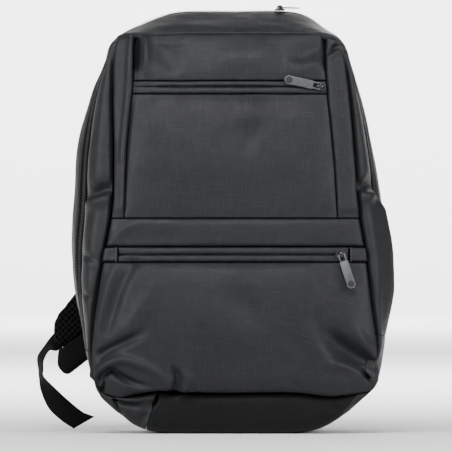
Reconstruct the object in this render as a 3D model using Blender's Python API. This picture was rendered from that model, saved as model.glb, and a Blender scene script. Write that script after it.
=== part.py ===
"""Laptop backpack: sewn panels, zips, sliders with pullers and two shoulder straps.

Metres, +Z up. The bag stands on its base, its front faces -Y.
Every cloth panel is a thin closed shell cut from one shared body form.
"""
import math

import bpy
from mathutils import Matrix, Vector

# Named sizes
HALF_WIDTH = 0.1652
HEIGHT = 0.4315
DEPTH = 0.140
CLOTH = 0.0022
TAPE = 0.0014
CHAIN_CROWN = 0.0010
SEAM = 0.0003
BACK_INSET = 0.018
BACK_PAD = 0.0100
BACK_PUFF = 0.0040
FRONT_DOME = 0.007
LIP_PUFF = 0.0024
PAD_THICK = 0.0120
END_THIN = 0.9
STRAP_BOW = 0.0400
WEB_WIDTH = 0.0250
WEB_THICK = 0.0016
SLIDER_HALF = 0.0060
SLIDER_BASE = 0.0018
BRIDGE_GAP = 0.0024
BRIDGE_WALL = 0.0014
PULLER_LENGTH = 0.0370
PULLER_WIDTH = 0.0088
PULLER_THICK = 0.0012
FINE = 2

# Outline stations: front seam x, z and outer form x, z (shares of half width and height),
# counted from the middle of the base to the right, over the top and down the left side
STATIONS = (
    (0.000, 0.095, 0.000, 0.000),
    (0.364, 0.096, 0.352, 0.000),
    (0.611, 0.086, 0.537, 0.011),
    (0.772, 0.095, 0.679, 0.040),
    (0.870, 0.105, 0.802, 0.080),
    (0.920, 0.139, 0.901, 0.123),
    (0.907, 0.208, 0.951, 0.196),
    (0.870, 0.314, 0.981, 0.314),
    (0.833, 0.433, 1.000, 0.421),
    (0.790, 0.539, 0.944, 0.532),
    (0.765, 0.669, 0.883, 0.674),
    (0.738, 0.787, 0.815, 0.787),
    (0.710, 0.877, 0.744, 0.877),
    (0.673, 0.915, 0.685, 0.924),
    (0.599, 0.930, 0.586, 0.955),
    (0.426, 0.933, 0.401, 0.996),
    (0.000, 0.934, 0.000, 1.000),
    (-0.377, 0.935, -0.352, 0.996),
    (-0.660, 0.934, -0.593, 0.960),
    (-0.719, 0.917, -0.735, 0.922),
    (-0.735, 0.877, -0.790, 0.877),
    (-0.738, 0.787, -0.883, 0.787),
    (-0.731, 0.669, -0.957, 0.674),
    (-0.738, 0.539, -0.981, 0.537),
    (-0.784, 0.433, -0.994, 0.433),
    (-0.827, 0.333, -0.969, 0.333),
    (-0.858, 0.234, -0.920, 0.234),
    (-0.864, 0.161, -0.883, 0.161),
    (-0.809, 0.104, -0.802, 0.087),
    (-0.673, 0.086, -0.679, 0.045),
    (-0.451, 0.097, -0.525, 0.009),
    (-0.253, 0.095, -0.284, 0.000),
)

# Section of the gusset: out share (front seam to outer form) and depth share for the sides,
# the top and the base, then how far the inner skin moves in and along the depth
SECTION = (
    (0.00, 0.00, 0.00, 0.00, 0.00, 0.00, 1.0, 1.0),
    (0.34, 0.02, 0.30, 0.10, 0.55, 0.015, 1.0, 0.8),
    (0.58, 0.10, 0.55, 0.20, 0.90, 0.060, 1.0, 0.4),
    (0.64, 0.22, 0.80, 0.31, 1.00, 0.140, 1.0, 0.1),
    (0.60, 0.30, 0.95, 0.40, 1.00, 0.280, 1.0, 0.0),
    (0.85, 0.37, 1.00, 0.50, 1.00, 0.400, 1.0, 0.0),
    (0.97, 0.50, 0.98, 0.60, 1.00, 0.550, 1.0, 0.0),
    (1.00, 0.66, 0.92, 0.74, 1.00, 0.700, 1.0, 0.0),
    (0.98, 0.84, 0.80, 0.88, 1.00, 0.860, 1.0, -0.2),
    (1.00, 1.00, 1.00, 1.00, 1.00, 1.000, 1.0, -1.0),
)
# Stations where the panels around the bag end
LOW_RIGHT = 6.3
LOW_LEFT = 26.5
CUT = 0.015
CELLS = ((LOW_RIGHT + CUT, 13.0 - CUT), (13.0 + CUT, 19.0 - CUT), (19.0 + CUT, LOW_LEFT - CUT),
         (LOW_LEFT + CUT, 30.0 - CUT), (30.0 + CUT, 35.0 - CUT), (3.0 + CUT, LOW_RIGHT - CUT))
ZIP_FRONT_RING = 4
ZIP_REAR_RING = 5
LAST_RING = 9

# Front lean: height share, setback share of the depth
LEAN = ((0.00, 0.04), (0.09, 0.03), (0.25, 0.00), (0.43, 0.03), (0.52, 0.05),
        (0.80, 0.13), (0.94, 0.20), (1.00, 0.24))
# Back lean: height share, setback share of the depth
BACK_LEAN = ((0.00, 0.05), (0.10, 0.01), (0.30, 0.00), (0.70, 0.01), (0.95, 0.05), (1.00, 0.07))

# Pinches of the gussets: station, half width in stations, depth share of the cloth width
PINCHES = ((9.25, 0.16, 0.12), (22.9, 0.16, 0.11), (24.3, 0.20, 0.05), (25.3, 0.20, 0.05),
           (12.3, 0.20, 0.06), (20.5, 0.20, 0.04))
PINCH_SIZE = 0.040

# Cross profile of a puffed panel: share across, share of the bulge
PUFF_ACROSS = ((0.00, 0.00), (0.03, 0.35), (0.10, 0.72), (0.25, 0.95), (0.50, 1.00),
               (0.75, 0.95), (0.90, 0.72), (0.97, 0.35), (1.00, 0.00))
PUFF_EVEN = ((0.00, 0.00), (0.06, 0.50), (0.20, 0.90), (0.50, 1.00), (0.80, 0.90), (0.94, 0.50), (1.00, 0.00))
PUFF_POCKET = ((0.00, 0.00), (0.02, 0.40), (0.06, 0.76), (0.14, 0.95), (0.30, 1.00),
               (0.55, 0.90), (0.80, 0.55), (0.95, 0.22), (1.00, 0.10))
PUFF_LIP = ((0.00, 0.00), (0.12, 0.60), (0.35, 0.97), (0.60, 0.97), (0.88, 0.60), (1.00, 0.00))

# Inner lines of the upright strips: height share, x share
LEFT_LINE = ((0.500, -0.657), (0.610, -0.648), (0.693, -0.636), (0.764, -0.617), (0.835, -0.602),
             (0.882, -0.602), (0.940, -0.599))
RIGHT_LINE = ((0.500, 0.654), (0.551, 0.648), (0.650, 0.632), (0.735, 0.611), (0.801, 0.593),
              (0.870, 0.583), (0.940, 0.586))
# Level seams of the front, height shares
UPPER_SLIT = 0.8173
UPPER_LIP_HIGH = UPPER_SLIT + 0.0141
UPPER_LIP_LOW = UPPER_SLIT - 0.0171
BAND_HIGH = 0.5076
LOWER_SLIT = 0.4220
LOWER_LIP_HIGH = LOWER_SLIT + 0.0180
LOWER_LIP_LOW = LOWER_SLIT - 0.0177
LEFT_TAB_LINE = -0.694
RIGHT_TAB_LINE = 0.725

# Soft folds of the front: x, z of both ends, width, depth (shares of half width)
FOLDS = (
    (-0.585, 0.925, -0.575, 0.850, 0.022, -0.022),
    (0.610, 0.925, 0.575, 0.900, 0.030, -0.018),
    (0.640, 0.920, 0.300, 0.885, 0.060, -0.016),
    (-0.560, 0.890, -0.130, 0.870, 0.090, -0.014),
    (-0.640, 0.360, -0.330, 0.200, 0.060, -0.012),
    (-0.720, 0.300, -0.480, 0.140, 0.050, -0.012),
    (-0.760, 0.180, -0.500, 0.155, 0.035, -0.016),
    (0.580, 0.260, 0.850, 0.170, 0.080, -0.022),
    (0.620, 0.130, 0.850, 0.140, 0.035, -0.014),
    (-0.500, 0.700, 0.480, 0.640, 0.200, -0.006),
)

# Left strap pad: outer edge x and z, inner edge x and z (shares of half width and height)
# and the bow behind the back (share of the strap bow)
PAD_RUN = (
    (-0.4237, 0.9270, -0.0847, 0.9270, 0.0),
    (-0.4722, 0.8575, -0.1211, 0.8482, 0.062),
    (-0.5508, 0.7370, -0.1937, 0.7138, 0.450),
    (-0.6659, 0.6072, -0.3087, 0.5747, 0.750),
    (-0.8172, 0.4681, -0.4540, 0.4403, 0.775),
    (-0.9722, 0.3333, -0.5993, 0.3244, 0.575),
    (-1.0835, 0.2735, -0.6780, 0.2920, 0.437),
    (-1.1041, 0.2317, -0.7324, 0.2758, 0.362),
    (-1.0666, 0.1854, -0.7748, 0.2630, 0.312),
)
END_RUN = (
    (-1.0623, 0.1819, -0.7760, 0.2596, 0.310),
    (-1.0654, 0.1530, -0.7990, 0.2317, 0.287),
    (-1.0230, 0.1321, -0.8475, 0.1854, 0.275),
)
PAD_SECTION = ((0.00, 0.30), (0.05, 0.78), (0.16, 1.00), (0.50, 1.00), (0.84, 1.00), (0.95, 0.78), (1.00, 0.30))

# Left webbing: middle x and z (shares) of its sewn end, on the back panel
WEB_ROOT = ((-0.5390, 0.0980), (-0.5720, 0.1210))
WEB_ROOT_SIDE = (0.86, 0.00, 0.51)
# Its way to the buckle and its loose end: middle x, bow, z (shares), direction from edge to edge
WEB_RUN = (
    (-0.6120, 0.160, 0.1380, 0.86, 0.00, 0.51),
    (-0.6900, 0.640, 0.1600, 0.84, 0.00, 0.54),
)
TAIL_RUN = (
    (-1.0109, 0.800, 0.2341, 0.10, 0.10, 0.95),
    (-1.0860, 0.700, 0.2070, -0.21, 0.76, 0.62),
    (-1.1368, 0.500, 0.1937, -0.23, 0.96, 0.12),
    (-1.1743, 0.412, 0.1692, -0.26, 0.96, 0.10),
    (-1.1725, 0.362, 0.1437, -0.20, 0.98, 0.00),
    (-1.1683, 0.312, 0.1251, -0.20, 0.98, -0.02),
    (-1.1186, 0.237, 0.0957, -0.64, 0.76, -0.06),
    (-1.0496, 0.175, 0.0640, -0.89, 0.36, -0.25),
    (-0.9685, 0.150, 0.0378, -0.95, 0.05, -0.32),
    (-0.9019, 0.150, 0.0232, -0.86, 0.00, -0.50),
)
RIGHT_STRAP_IN = 0.80
# Loose end of the right webbing, folded back over the buckle and hanging behind it
RIGHT_TAIL = (
    (0.7960, 0.775, 0.2514, -0.71, 0.00, 0.71),
    (0.8063, 0.912, 0.2514, -0.71, 0.00, 0.71),
    (0.7900, 1.005, 0.2387, -0.75, 0.00, 0.66),
    (0.7476, 1.037, 0.2132, -0.85, 0.00, 0.50),
    (0.6901, 1.025, 0.1622, -0.95, 0.00, 0.30),
    (0.6568, 0.987, 0.1043, -1.00, 0.00, 0.12),
    (0.6429, 0.950, 0.0463, -1.00, 0.00, 0.00),
    (0.6416, 0.937, 0.0035, -1.00, 0.00, 0.00),
)

# Buckle: turn from upright in degrees, middle x and z (shares), side bars, gap to the pad
BUCKLE_TURN = 45.0
BUCKLE_PLACE = (-0.8717, 0.2132)
BUCKLE_GAP = 0.0092
BUCKLE_LENGTH = 0.0325
BUCKLE_SIDE = 0.0030
BUCKLE_THICK = 0.0030
WEB_SLACK = 0.0008
LOOP_WIDTH = 0.0180
LOOP_THICK = 0.0012
# Edges of the four cross bars, shares of the buckle length
BUCKLE_BARS = (-0.505, -0.431, -0.191, -0.117, 0.117, 0.191, 0.422, 0.495)
# Webbing through the buckle: place (share of the buckle length), depth (shares of its lift)
THREAD = ((-0.677, 2.6), (-0.431, 2.4), (-0.209, 1.02), (-0.098, 1.0), (0.0, 0.0),
          (0.098, -1.0), (0.209, -1.0), (0.308, 0.0), (0.406, 1.0), (0.523, 1.45))
# Loop that holds the buckle: place from its bar (share of the buckle length), depth (share of its
# lift), and its root on the strap end (places only)
LOOP_ROOT = (0.480, 0.340)
LOOP = ((0.150, -2.4), (0.0, -1.50), (-0.092, -0.82), (-0.111, 0.0), (-0.092, 0.82),
        (0.0, 1.32), (0.092, 0.82), (0.111, -0.18))

# Zip sliders: x and z shares on the front, station on the ridge
UPPER_SLIDER = (0.548, UPPER_SLIT + 0.0003)
LOWER_SLIDER = (0.676, LOWER_SLIT + 0.0005)
TOP_SLIDER_STATION = 15.28


def clear_scene():
    for item in list(bpy.data.objects):
        bpy.data.objects.remove(item, do_unlink=True)
    for item in list(bpy.data.meshes):
        bpy.data.meshes.remove(item)
    for item in list(bpy.data.materials):
        bpy.data.materials.remove(item)


def material(name, colour, rough, metal):
    made = bpy.data.materials.new(name)
    made.use_nodes = True
    shader = made.node_tree.nodes["Principled BSDF"]
    shader.inputs["Base Color"].default_value = (colour[0], colour[1], colour[2], 1.0)
    shader.inputs["Roughness"].default_value = rough
    shader.inputs["Metallic"].default_value = metal
    made.diffuse_color = (colour[0], colour[1], colour[2], 1.0)
    return made


def smooth(low, high, value):
    share = min(1.0, max(0.0, (value - low) / (high - low)))
    return share * share * (3.0 - 2.0 * share)


def look(table, key):
    """Straight interpolation of a two-column table."""
    if key <= table[0][0]:
        return table[0][1]
    for first, second in zip(table, table[1:]):
        if key <= second[0]:
            share = (key - first[0]) / (second[0] - first[0])
            return first[1] + (second[1] - first[1]) * share
    return table[-1][1]


def curve(rows, where, closed=False):
    """Catmull-Rom point of a table of rows at a fractional row number."""
    count = len(rows)
    first = int(math.floor(where))
    part = where - first
    if not closed and first >= count - 1:
        first = count - 2
        part = 1.0
    picked = []
    for step in (-1, 0, 1, 2):
        index = first + step
        if closed:
            index %= count
        else:
            index = min(count - 1, max(0, index))
        picked.append(rows[index])
    values = []
    for a, b, c, d in zip(*picked):
        values.append(0.5 * (2.0 * b + (c - a) * part + (2.0 * a - 5.0 * b + 4.0 * c - d) * part ** 2
                             + (3.0 * b - a - 3.0 * c + d) * part ** 3))
    return values


def front_y(height):
    return -0.5 * DEPTH + DEPTH * look(LEAN, height)


def back_y(height):
    return 0.5 * DEPTH - DEPTH * look(BACK_LEAN, height)


def station(where):
    """Front seam point, outer point and outward direction of a station (x and z)."""
    fx, fz, ox, oz = curve(STATIONS, where, closed=True)
    ahead = curve(STATIONS, where + 0.05, closed=True)
    behind = curve(STATIONS, where - 0.05, closed=True)
    along_x = (ahead[2] - behind[2] + ahead[0] - behind[0]) * HALF_WIDTH
    along_z = (ahead[3] - behind[3] + ahead[1] - behind[1]) * HEIGHT
    size = math.hypot(along_x, along_z)
    out = (along_z / size, -along_x / size)
    return fx * HALF_WIDTH, fz * HEIGHT, ox * HALF_WIDTH, max(0.0, oz) * HEIGHT, out


def section(ring, height):
    """Out share, depth share and the two inner shifts of a ring at a height share."""
    first = min(LAST_RING - 1, int(ring))
    part = ring - first
    low = SECTION[first]
    high = SECTION[first + 1]
    row = [a + (b - a) * part for a, b in zip(low, high)]
    base = 1.0 - smooth(0.05, 0.17, height)
    top = smooth(0.86, 0.955, height)
    side = 1.0 - base - top
    out = row[0] * side + row[2] * top + row[4] * base
    deep = row[1] * side + row[3] * top + row[5] * base
    return out, deep, row[6], row[7]


def body_point(where, ring, layer, thick):
    """Point of the body form; layer 0 is the outer skin, 1 the inner skin."""
    fx, fz, ox, oz, out = station(where)
    share, deep, move_in, move_deep = section(ring, oz / HEIGHT)
    x = fx + (ox - fx) * share
    z = fz + (oz - fz) * share
    y_front = front_y(fz / HEIGHT)
    y_back = back_y(oz / HEIGHT)
    last = max(0.0, ring - (LAST_RING - 1))
    inset = BACK_INSET * last
    x -= out[0] * inset
    z -= out[1] * inset
    y = y_front + (y_back - y_front) * deep
    pinch = 0.0
    for middle, half, depth in PINCHES:
        pinch += depth * math.exp(-((where - middle) / half) ** 2)
    pinch *= PINCH_SIZE * max(0.0, math.sin(math.pi * min(1.0, ring / ZIP_FRONT_RING)))
    back = pinch + thick * layer * move_in
    x -= out[0] * back
    z -= out[1] * back
    y += thick * layer * move_deep
    return Vector((x, y, z))


def back_place(u, v, layer):
    """Point of the back panel: u across, v up, layer 0 behind and 1 inside."""
    gap = 2.0 * SEAM
    x = 0.0
    z = 0.0
    for turn in range(5):
        low = look(SEAMS["back_bottom", layer], x) + gap
        high = look(SEAMS["back_top", layer], x) - gap
        z = low + (high - low) * v
        left = look(SEAMS["back_left", layer], z) + gap
        right = look(SEAMS["back_right", layer], z) - gap
        x = left + (right - left) * u
    lump = look(PUFF_ACROSS, u) * look(PUFF_EVEN, v)
    y = back_y(z / HEIGHT)
    if layer == 0:
        return Vector((x, y + BACK_PUFF * lump, z))
    return Vector((x, y - CLOTH - (BACK_PAD - CLOTH) * lump, z))


def back_surface(x, z):
    """Depth of the back panel's outer face."""
    low = look(SEAMS["back_bottom", 0], x)
    high = look(SEAMS["back_top", 0], x)
    left = look(SEAMS["back_left", 0], z)
    right = look(SEAMS["back_right", 0], z)
    u = min(1.0, max(0.0, (x - left) / (right - left)))
    v = min(1.0, max(0.0, (z - low) / (high - low)))
    return back_y(z / HEIGHT) + BACK_PUFF * look(PUFF_ACROSS, u) * look(PUFF_EVEN, v)


def mesh_object(name, skin, points, faces):
    mesh = bpy.data.meshes.new(name)
    mesh.from_pydata([tuple(point) for point in points], [], faces)
    mesh.update()
    volume = 0.0
    for face in faces:
        first = Vector(points[face[0]])
        for step in range(1, len(face) - 1):
            volume += first.dot(Vector(points[face[step]]).cross(Vector(points[face[step + 1]])))
    if volume < 0.0:
        mesh.flip_normals()
    mesh.materials.append(skin)
    made = bpy.data.objects.new(name, mesh)
    bpy.context.scene.collection.objects.link(made)
    return made


def shell(name, skin, us, vs, place):
    """Closed body of a cell: outer skin, inner skin and the four edges between them."""
    columns = len(us)
    rows = len(vs)
    points = []
    for layer in (0, 1):
        for u in us:
            for v in vs:
                points.append(place(u, v, layer))
    size = columns * rows
    faces = []
    for i in range(columns - 1):
        for j in range(rows - 1):
            a = i * rows + j
            b = a + rows
            faces.append((a, b, b + 1, a + 1))
            faces.append((a + size, a + 1 + size, b + 1 + size, b + size))
    for i in range(columns - 1):
        a = i * rows
        b = a + rows
        faces.append((a + size, b + size, b, a))
        a += rows - 1
        b += rows - 1
        faces.append((a, b, b + size, a + size))
    for j in range(rows - 1):
        a = j
        faces.append((a, a + 1, a + 1 + size, a + size))
        a = (columns - 1) * rows + j
        faces.append((a + size, a + 1 + size, a + 1, a))
    return mesh_object(name, skin, points, faces)


def steps(first, last, count):
    return [first + (last - first) * i / count for i in range(count + 1)]


def gusset(name, skin, first, last, ring_first, ring_last, thick, crown=0.0):
    """Panel of the body form between two stations and two rings."""
    us = cell_stations(first, last)
    vs = [ring_first] + [float(r) for r in range(1, 9) if ring_first + 0.1 < r < ring_last - 0.1] + [ring_last]
    if crown:
        vs = [ring_first + (ring_last - ring_first) * share for share in (0.0, 0.38, 0.62, 1.0)]

    def place(u, v, layer):
        point = body_point(u, v, layer, thick)
        if crown:
            share = (v - ring_first) / (ring_last - ring_first)
            out = station(u)[4]
            lift = crown * (1 - layer) if 0.3 < share < 0.7 else 0.0
            point.x += out[0] * lift
            point.z += out[1] * lift
        return point

    return shell(name, skin, us, vs, place)


def cell_stations(first, last):
    """Stations that the panel between two stations has its vertices at."""
    return steps(first, last, max(2, int(round((last - first) * FINE))))


def chain(first, last, ring, layer, thick, level):
    """Sorted two-column table of a seam as it is cut by the panels, by height or by x."""
    rows = []
    for start, end in CELLS:
        for where in cell_stations(start, end):
            for turn in (0.0, 32.0):
                if first <= where + turn <= last:
                    point = body_point(where, ring, layer, thick)
                    rows.append((point.x, point.z) if level else (point.z, point.x))
    rows.sort()
    return tuple(rows)


SEAMS = {}


def build_seams():
    for layer in (0, 1):
        SEAMS["left", layer] = chain(18.0, 29.01, 0.02, layer, CLOTH, False)
        SEAMS["right", layer] = chain(2.4, 14.2, 0.02, layer, CLOTH, False)
        SEAMS["top", layer] = chain(13.4, 18.6, 0.02, layer, CLOTH, True)
        SEAMS["bottom", layer] = chain(27.9, 36.2, 0.02, layer, CLOTH, True)
        last = LAST_RING - 0.02
        SEAMS["back_left", layer] = chain(18.0, 29.4, last, layer, CLOTH, False)
        SEAMS["back_right", layer] = chain(2.6, 14.0, last, layer, CLOTH, False)
        SEAMS["back_top", layer] = chain(13.5, 18.5, last, layer, CLOTH, True)
        SEAMS["back_bottom", layer] = chain(29.0, 35.0, last, layer, CLOTH, True)


def left_edge(z, layer):
    return look(SEAMS["left", layer], z) + SEAM


def right_edge(z, layer):
    return look(SEAMS["right", layer], z) - SEAM


def left_line(z, layer):
    return look(LEFT_LINE, z / HEIGHT) * HALF_WIDTH


def right_line(z, layer):
    return look(RIGHT_LINE, z / HEIGHT) * HALF_WIDTH


def fold_depth(x, z):
    """Sum of the soft folds at a front place, in metres."""
    total = 0.0
    for x0, z0, x1, z1, width, depth in FOLDS:
        ax = x0 * HALF_WIDTH
        az = z0 * HEIGHT
        bx = x1 * HALF_WIDTH - ax
        bz = z1 * HEIGHT - az
        share = ((x - ax) * bx + (z - az) * bz) / (bx * bx + bz * bz)
        share = min(1.0, max(0.0, share))
        gap = math.hypot(x - ax - bx * share, z - az - bz * share)
        total += depth * HALF_WIDTH * math.exp(-(gap / (width * HALF_WIDTH)) ** 2)
    return total


def front_surface(x, z):
    """Depth of the front face without the puff of its panels."""
    left = look(SEAMS["left", 0], z)
    right = look(SEAMS["right", 0], z)
    across = min(1.0, max(0.0, (x - left) / (right - left)))
    low = look(SEAMS["bottom", 0], x)
    high = look(SEAMS["top", 0], x)
    up = min(1.0, max(0.0, (z - low) / (high - low)))
    edge = look(PUFF_ACROSS, across) * look(PUFF_EVEN, up)
    return front_y(z / HEIGHT) - edge * (FRONT_DOME + fold_depth(x, z))


def panel(name, skin, left, right, low, high, counts, puff, puff_up, thick=CLOTH, back=0.0):
    """Front panel between two side lines and two level lines."""

    def place(u, v, layer):
        z = low(0.0, layer) + (high(0.0, layer) - low(0.0, layer)) * v
        x = left(z, layer) + (right(z, layer) - left(z, layer)) * u
        for turn in range(3):
            z = low(x, layer) + (high(x, layer) - low(x, layer)) * v
            x = left(z, layer) + (right(z, layer) - left(z, layer)) * u
        y = front_surface(x, z) - puff * look(PUFF_ACROSS, u) * look(puff_up, v)
        return Vector((x, y + back + thick * layer, z))

    us = [0.0, 0.03, 0.10] + steps(0.2, 0.8, counts[0])[:] + [0.90, 0.97, 1.0]
    vs = [0.0, 0.15, 0.5, 0.85, 1.0]
    if counts[1]:
        vs = [0.0, 0.02, 0.06] + steps(0.12, 0.88, counts[1]) + [0.94, 0.98, 1.0]
    return shell(name, skin, us, vs, place)


def level(share, gap):
    return lambda x, layer: share * HEIGHT + gap


def line(share, gap):
    return lambda z, layer: share * HALF_WIDTH + gap


def shifted(edge, gap):
    return lambda z, layer: edge(z, layer) + gap


def top_edge(x, layer):
    return look(SEAMS["top", layer], x) - SEAM


def bottom_edge(x, layer):
    return look(SEAMS["bottom", layer], x) + SEAM


def blocks(name, skin, xs, ys, zs, filled, frame, warp=None):
    """Closed body of filled box cells, placed by a frame."""
    numbers = {}
    points = []
    faces = []

    def number(i, j, k):
        key = (i, j, k)
        if key not in numbers:
            numbers[key] = len(points)
            spot = Vector((xs[i], ys[j], zs[k]))
            if warp:
                spot = warp(spot)
            points.append(frame @ spot)
        return numbers[key]

    def full(i, j, k):
        inside = 0 <= i < len(xs) - 1 and 0 <= j < len(ys) - 1 and 0 <= k < len(zs) - 1
        return inside and filled(i, j, k)

    for i in range(len(xs) - 1):
        for j in range(len(ys) - 1):
            for k in range(len(zs) - 1):
                if not full(i, j, k):
                    continue
                corners = [[[number(i + a, j + b, k + c) for c in (0, 1)] for b in (0, 1)] for a in (0, 1)]
                if not full(i - 1, j, k):
                    faces.append((corners[0][0][0], corners[0][0][1], corners[0][1][1], corners[0][1][0]))
                if not full(i + 1, j, k):
                    faces.append((corners[1][0][0], corners[1][1][0], corners[1][1][1], corners[1][0][1]))
                if not full(i, j - 1, k):
                    faces.append((corners[0][0][0], corners[1][0][0], corners[1][0][1], corners[0][0][1]))
                if not full(i, j + 1, k):
                    faces.append((corners[0][1][0], corners[0][1][1], corners[1][1][1], corners[1][1][0]))
                if not full(i, j, k - 1):
                    faces.append((corners[0][0][0], corners[0][1][0], corners[1][1][0], corners[1][0][0]))
                if not full(i, j, k + 1):
                    faces.append((corners[0][0][1], corners[1][0][1], corners[1][1][1], corners[0][1][1]))
    return mesh_object(name, skin, points, faces)


def slab(name, skin, rows, thick_table, thick, per_span):
    """Soft slab along rows of two edges: (a, b) with a crowned cross section."""
    count = (len(rows) - 1) * per_span
    us = steps(0.0, len(rows) - 1.0, count)
    across = [row[0] for row in thick_table]

    def edges(u):
        values = curve(rows, u)
        return Vector(values[0:3]), Vector(values[3:6])

    def place(u, v, layer):
        a, b = edges(u)
        before = edges(max(0.0, u - 0.1))
        after = edges(min(len(rows) - 1.0, u + 0.1))
        along = (after[0] + after[1] - before[0] - before[1]).normalized()
        side = (b - a).normalized()
        normal = side.cross(along).normalized()
        half = 0.5 * thick * look(thick_table, v)
        return a + (b - a) * v + normal * (half if layer == 0 else -half)

    return shell(name, skin, us, across, place)


def pad_rows(run, side, share):
    """Edge rows of a strap pad on the left (-1) or right (1) side."""
    middle = 0.5 * DEPTH + 0.5 * PAD_THICK
    rows = []
    for ax, az, bx, bz, bow in run:
        y = middle + bow * STRAP_BOW
        if bow == 0.0:
            x = -side * 0.5 * (ax + bx) * HALF_WIDTH * share
            y = back_surface(x, 0.5 * (az + bz) * HEIGHT) + SEAM + 0.5 * PAD_THICK
        a = (-side * ax * HALF_WIDTH * share, y, az * HEIGHT)
        b = (-side * bx * HALF_WIDTH * share, y, bz * HEIGHT)
        rows.append(a + b if side < 0 else b + a)
    return rows


def spots(run, back):
    """Webbing rows in metres from a table of shares."""
    rows = []
    for x, bow, z, dx, dy, dz in run:
        y = 0.5 * DEPTH + back + bow * STRAP_BOW
        rows.append((x * HALF_WIDTH, y, z * HEIGHT, dx, dy, dz))
    return rows


def ribbon_rows(run):
    rows = []
    for x, y, z, dx, dy, dz in run:
        middle = Vector((x, y, z))
        side = Vector((dx, dy, dz)).normalized() * (0.5 * WEB_WIDTH)
        rows.append(tuple(middle + side) + tuple(middle - side))
    return rows


def mirrored(run, shift):
    """Webbing rows for the right side: x turned over and shifted."""
    return [(shift - x, y, z, -dx, dy, dz) for x, y, z, dx, dy, dz in run]


def frame_from(origin, along, normal):
    """Frame with x along, z along the normal and y across."""
    z_axis = normal.normalized()
    y_axis = z_axis.cross(along).normalized()
    x_axis = y_axis.cross(z_axis).normalized()
    basis = Matrix((x_axis, y_axis, z_axis)).transposed().to_4x4()
    basis.translation = origin
    return basis


def slider_and_puller(name, skin, origin, pull_along, normal, turn):
    """Slider body with its bridge, and the puller whose root bar runs under the bridge."""
    frame = frame_from(origin, pull_along, normal)
    xs = [share * SLIDER_HALF for share in (-1.0, -0.667, -0.367, 0.367, 0.667, 1.0)]
    ys = [share * SLIDER_HALF for share in (-0.70, -0.233, 0.233, 0.70)]
    zs = (0.0, SLIDER_BASE, SLIDER_BASE + BRIDGE_GAP, SLIDER_BASE + BRIDGE_GAP + BRIDGE_WALL)

    def filled(i, j, k):
        if k == 0:
            return True
        if j != 1:
            return False
        if k == 1:
            return i in (1, 3)
        return i in (1, 2, 3)

    blocks(name + "_slider", skin, xs, ys, zs, filled, frame)
    axis_height = SLIDER_BASE + 0.5 * BRIDGE_GAP
    hinge = frame @ Vector((0.0, 0.0, axis_height))
    pull_frame = frame.copy()
    pull_frame.translation = hinge
    pull_frame = pull_frame @ Matrix.Rotation(math.radians(turn), 4, "Y")
    half = 0.5 * PULLER_WIDTH
    bar = 0.5 * PULLER_THICK
    root = 0.0085
    px = (-bar, bar, root, PULLER_LENGTH - 0.0040, PULLER_LENGTH)
    py = (-half, -0.0022, 0.0022, half)
    pz = (-bar, bar)

    def solid(i, j, k):
        return not (i == 1 and j == 1)

    def warp(spot):
        tip = smooth(PULLER_LENGTH - 0.0040, PULLER_LENGTH, spot.x)
        root_cut = 1.0 - smooth(-bar, root, spot.x)
        narrow = 1.0 - 0.42 * tip - 0.16 * root_cut
        return Vector((spot.x, spot.y * narrow, spot.z))

    blocks(name + "_puller", skin, px, py, pz, solid, pull_frame, warp)
    return hinge


def strap_set(side, skins, pads, ends, web_rows, buckle_middle, turn):
    mesh_skin, cloth_skin, web_skin, plastic = skins
    slab(side + "_strap_pad", mesh_skin, pads, PAD_SECTION, PAD_THICK, 2)
    slab(side + "_strap_end", cloth_skin, ends, PAD_SECTION, PAD_THICK * END_THIN, 2)
    flat = ((0.0, 1.0), (1.0, 1.0))
    slab(side + "_webbing", web_skin, web_rows, flat, WEB_THICK, 2)
    along = Vector((-math.sin(turn), 0.0, math.cos(turn)))
    frame = frame_from(buckle_middle, along, Vector((0.0, 1.0, 0.0)))
    half = 0.5 * WEB_WIDTH + WEB_SLACK + BUCKLE_SIDE
    ys = (-half, -half + BUCKLE_SIDE, half - BUCKLE_SIDE, half)
    zs = (-0.5 * BUCKLE_THICK, 0.5 * BUCKLE_THICK)

    def filled(i, j, k):
        return j != 1 or i in (0, 2, 4, 6)

    bars = [share * BUCKLE_LENGTH for share in BUCKLE_BARS]
    blocks(side + "_buckle", plastic, bars, ys, zs, filled, frame)
    loop_rows = []
    middle_bar = 0.5 * (bars[0] + bars[1])
    lift = 0.5 * BUCKLE_THICK + 0.5 * LOOP_THICK + 0.0001
    width = Vector((0.0, 0.5 * LOOP_WIDTH, 0.0))
    root = BUCKLE_GAP + 0.5 * BUCKLE_THICK - SEAM - 0.5 * LOOP_THICK
    rows = [(place, -root / lift) for place in LOOP_ROOT] + list(LOOP)
    for place, deep in rows:
        spot = Vector((middle_bar + place * BUCKLE_LENGTH, 0.0, deep * lift))
        loop_rows.append(tuple(frame @ (spot + width)) + tuple(frame @ (spot - width)))
    slab(side + "_buckle_loop", web_skin, loop_rows, flat, LOOP_THICK, 2)


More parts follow.
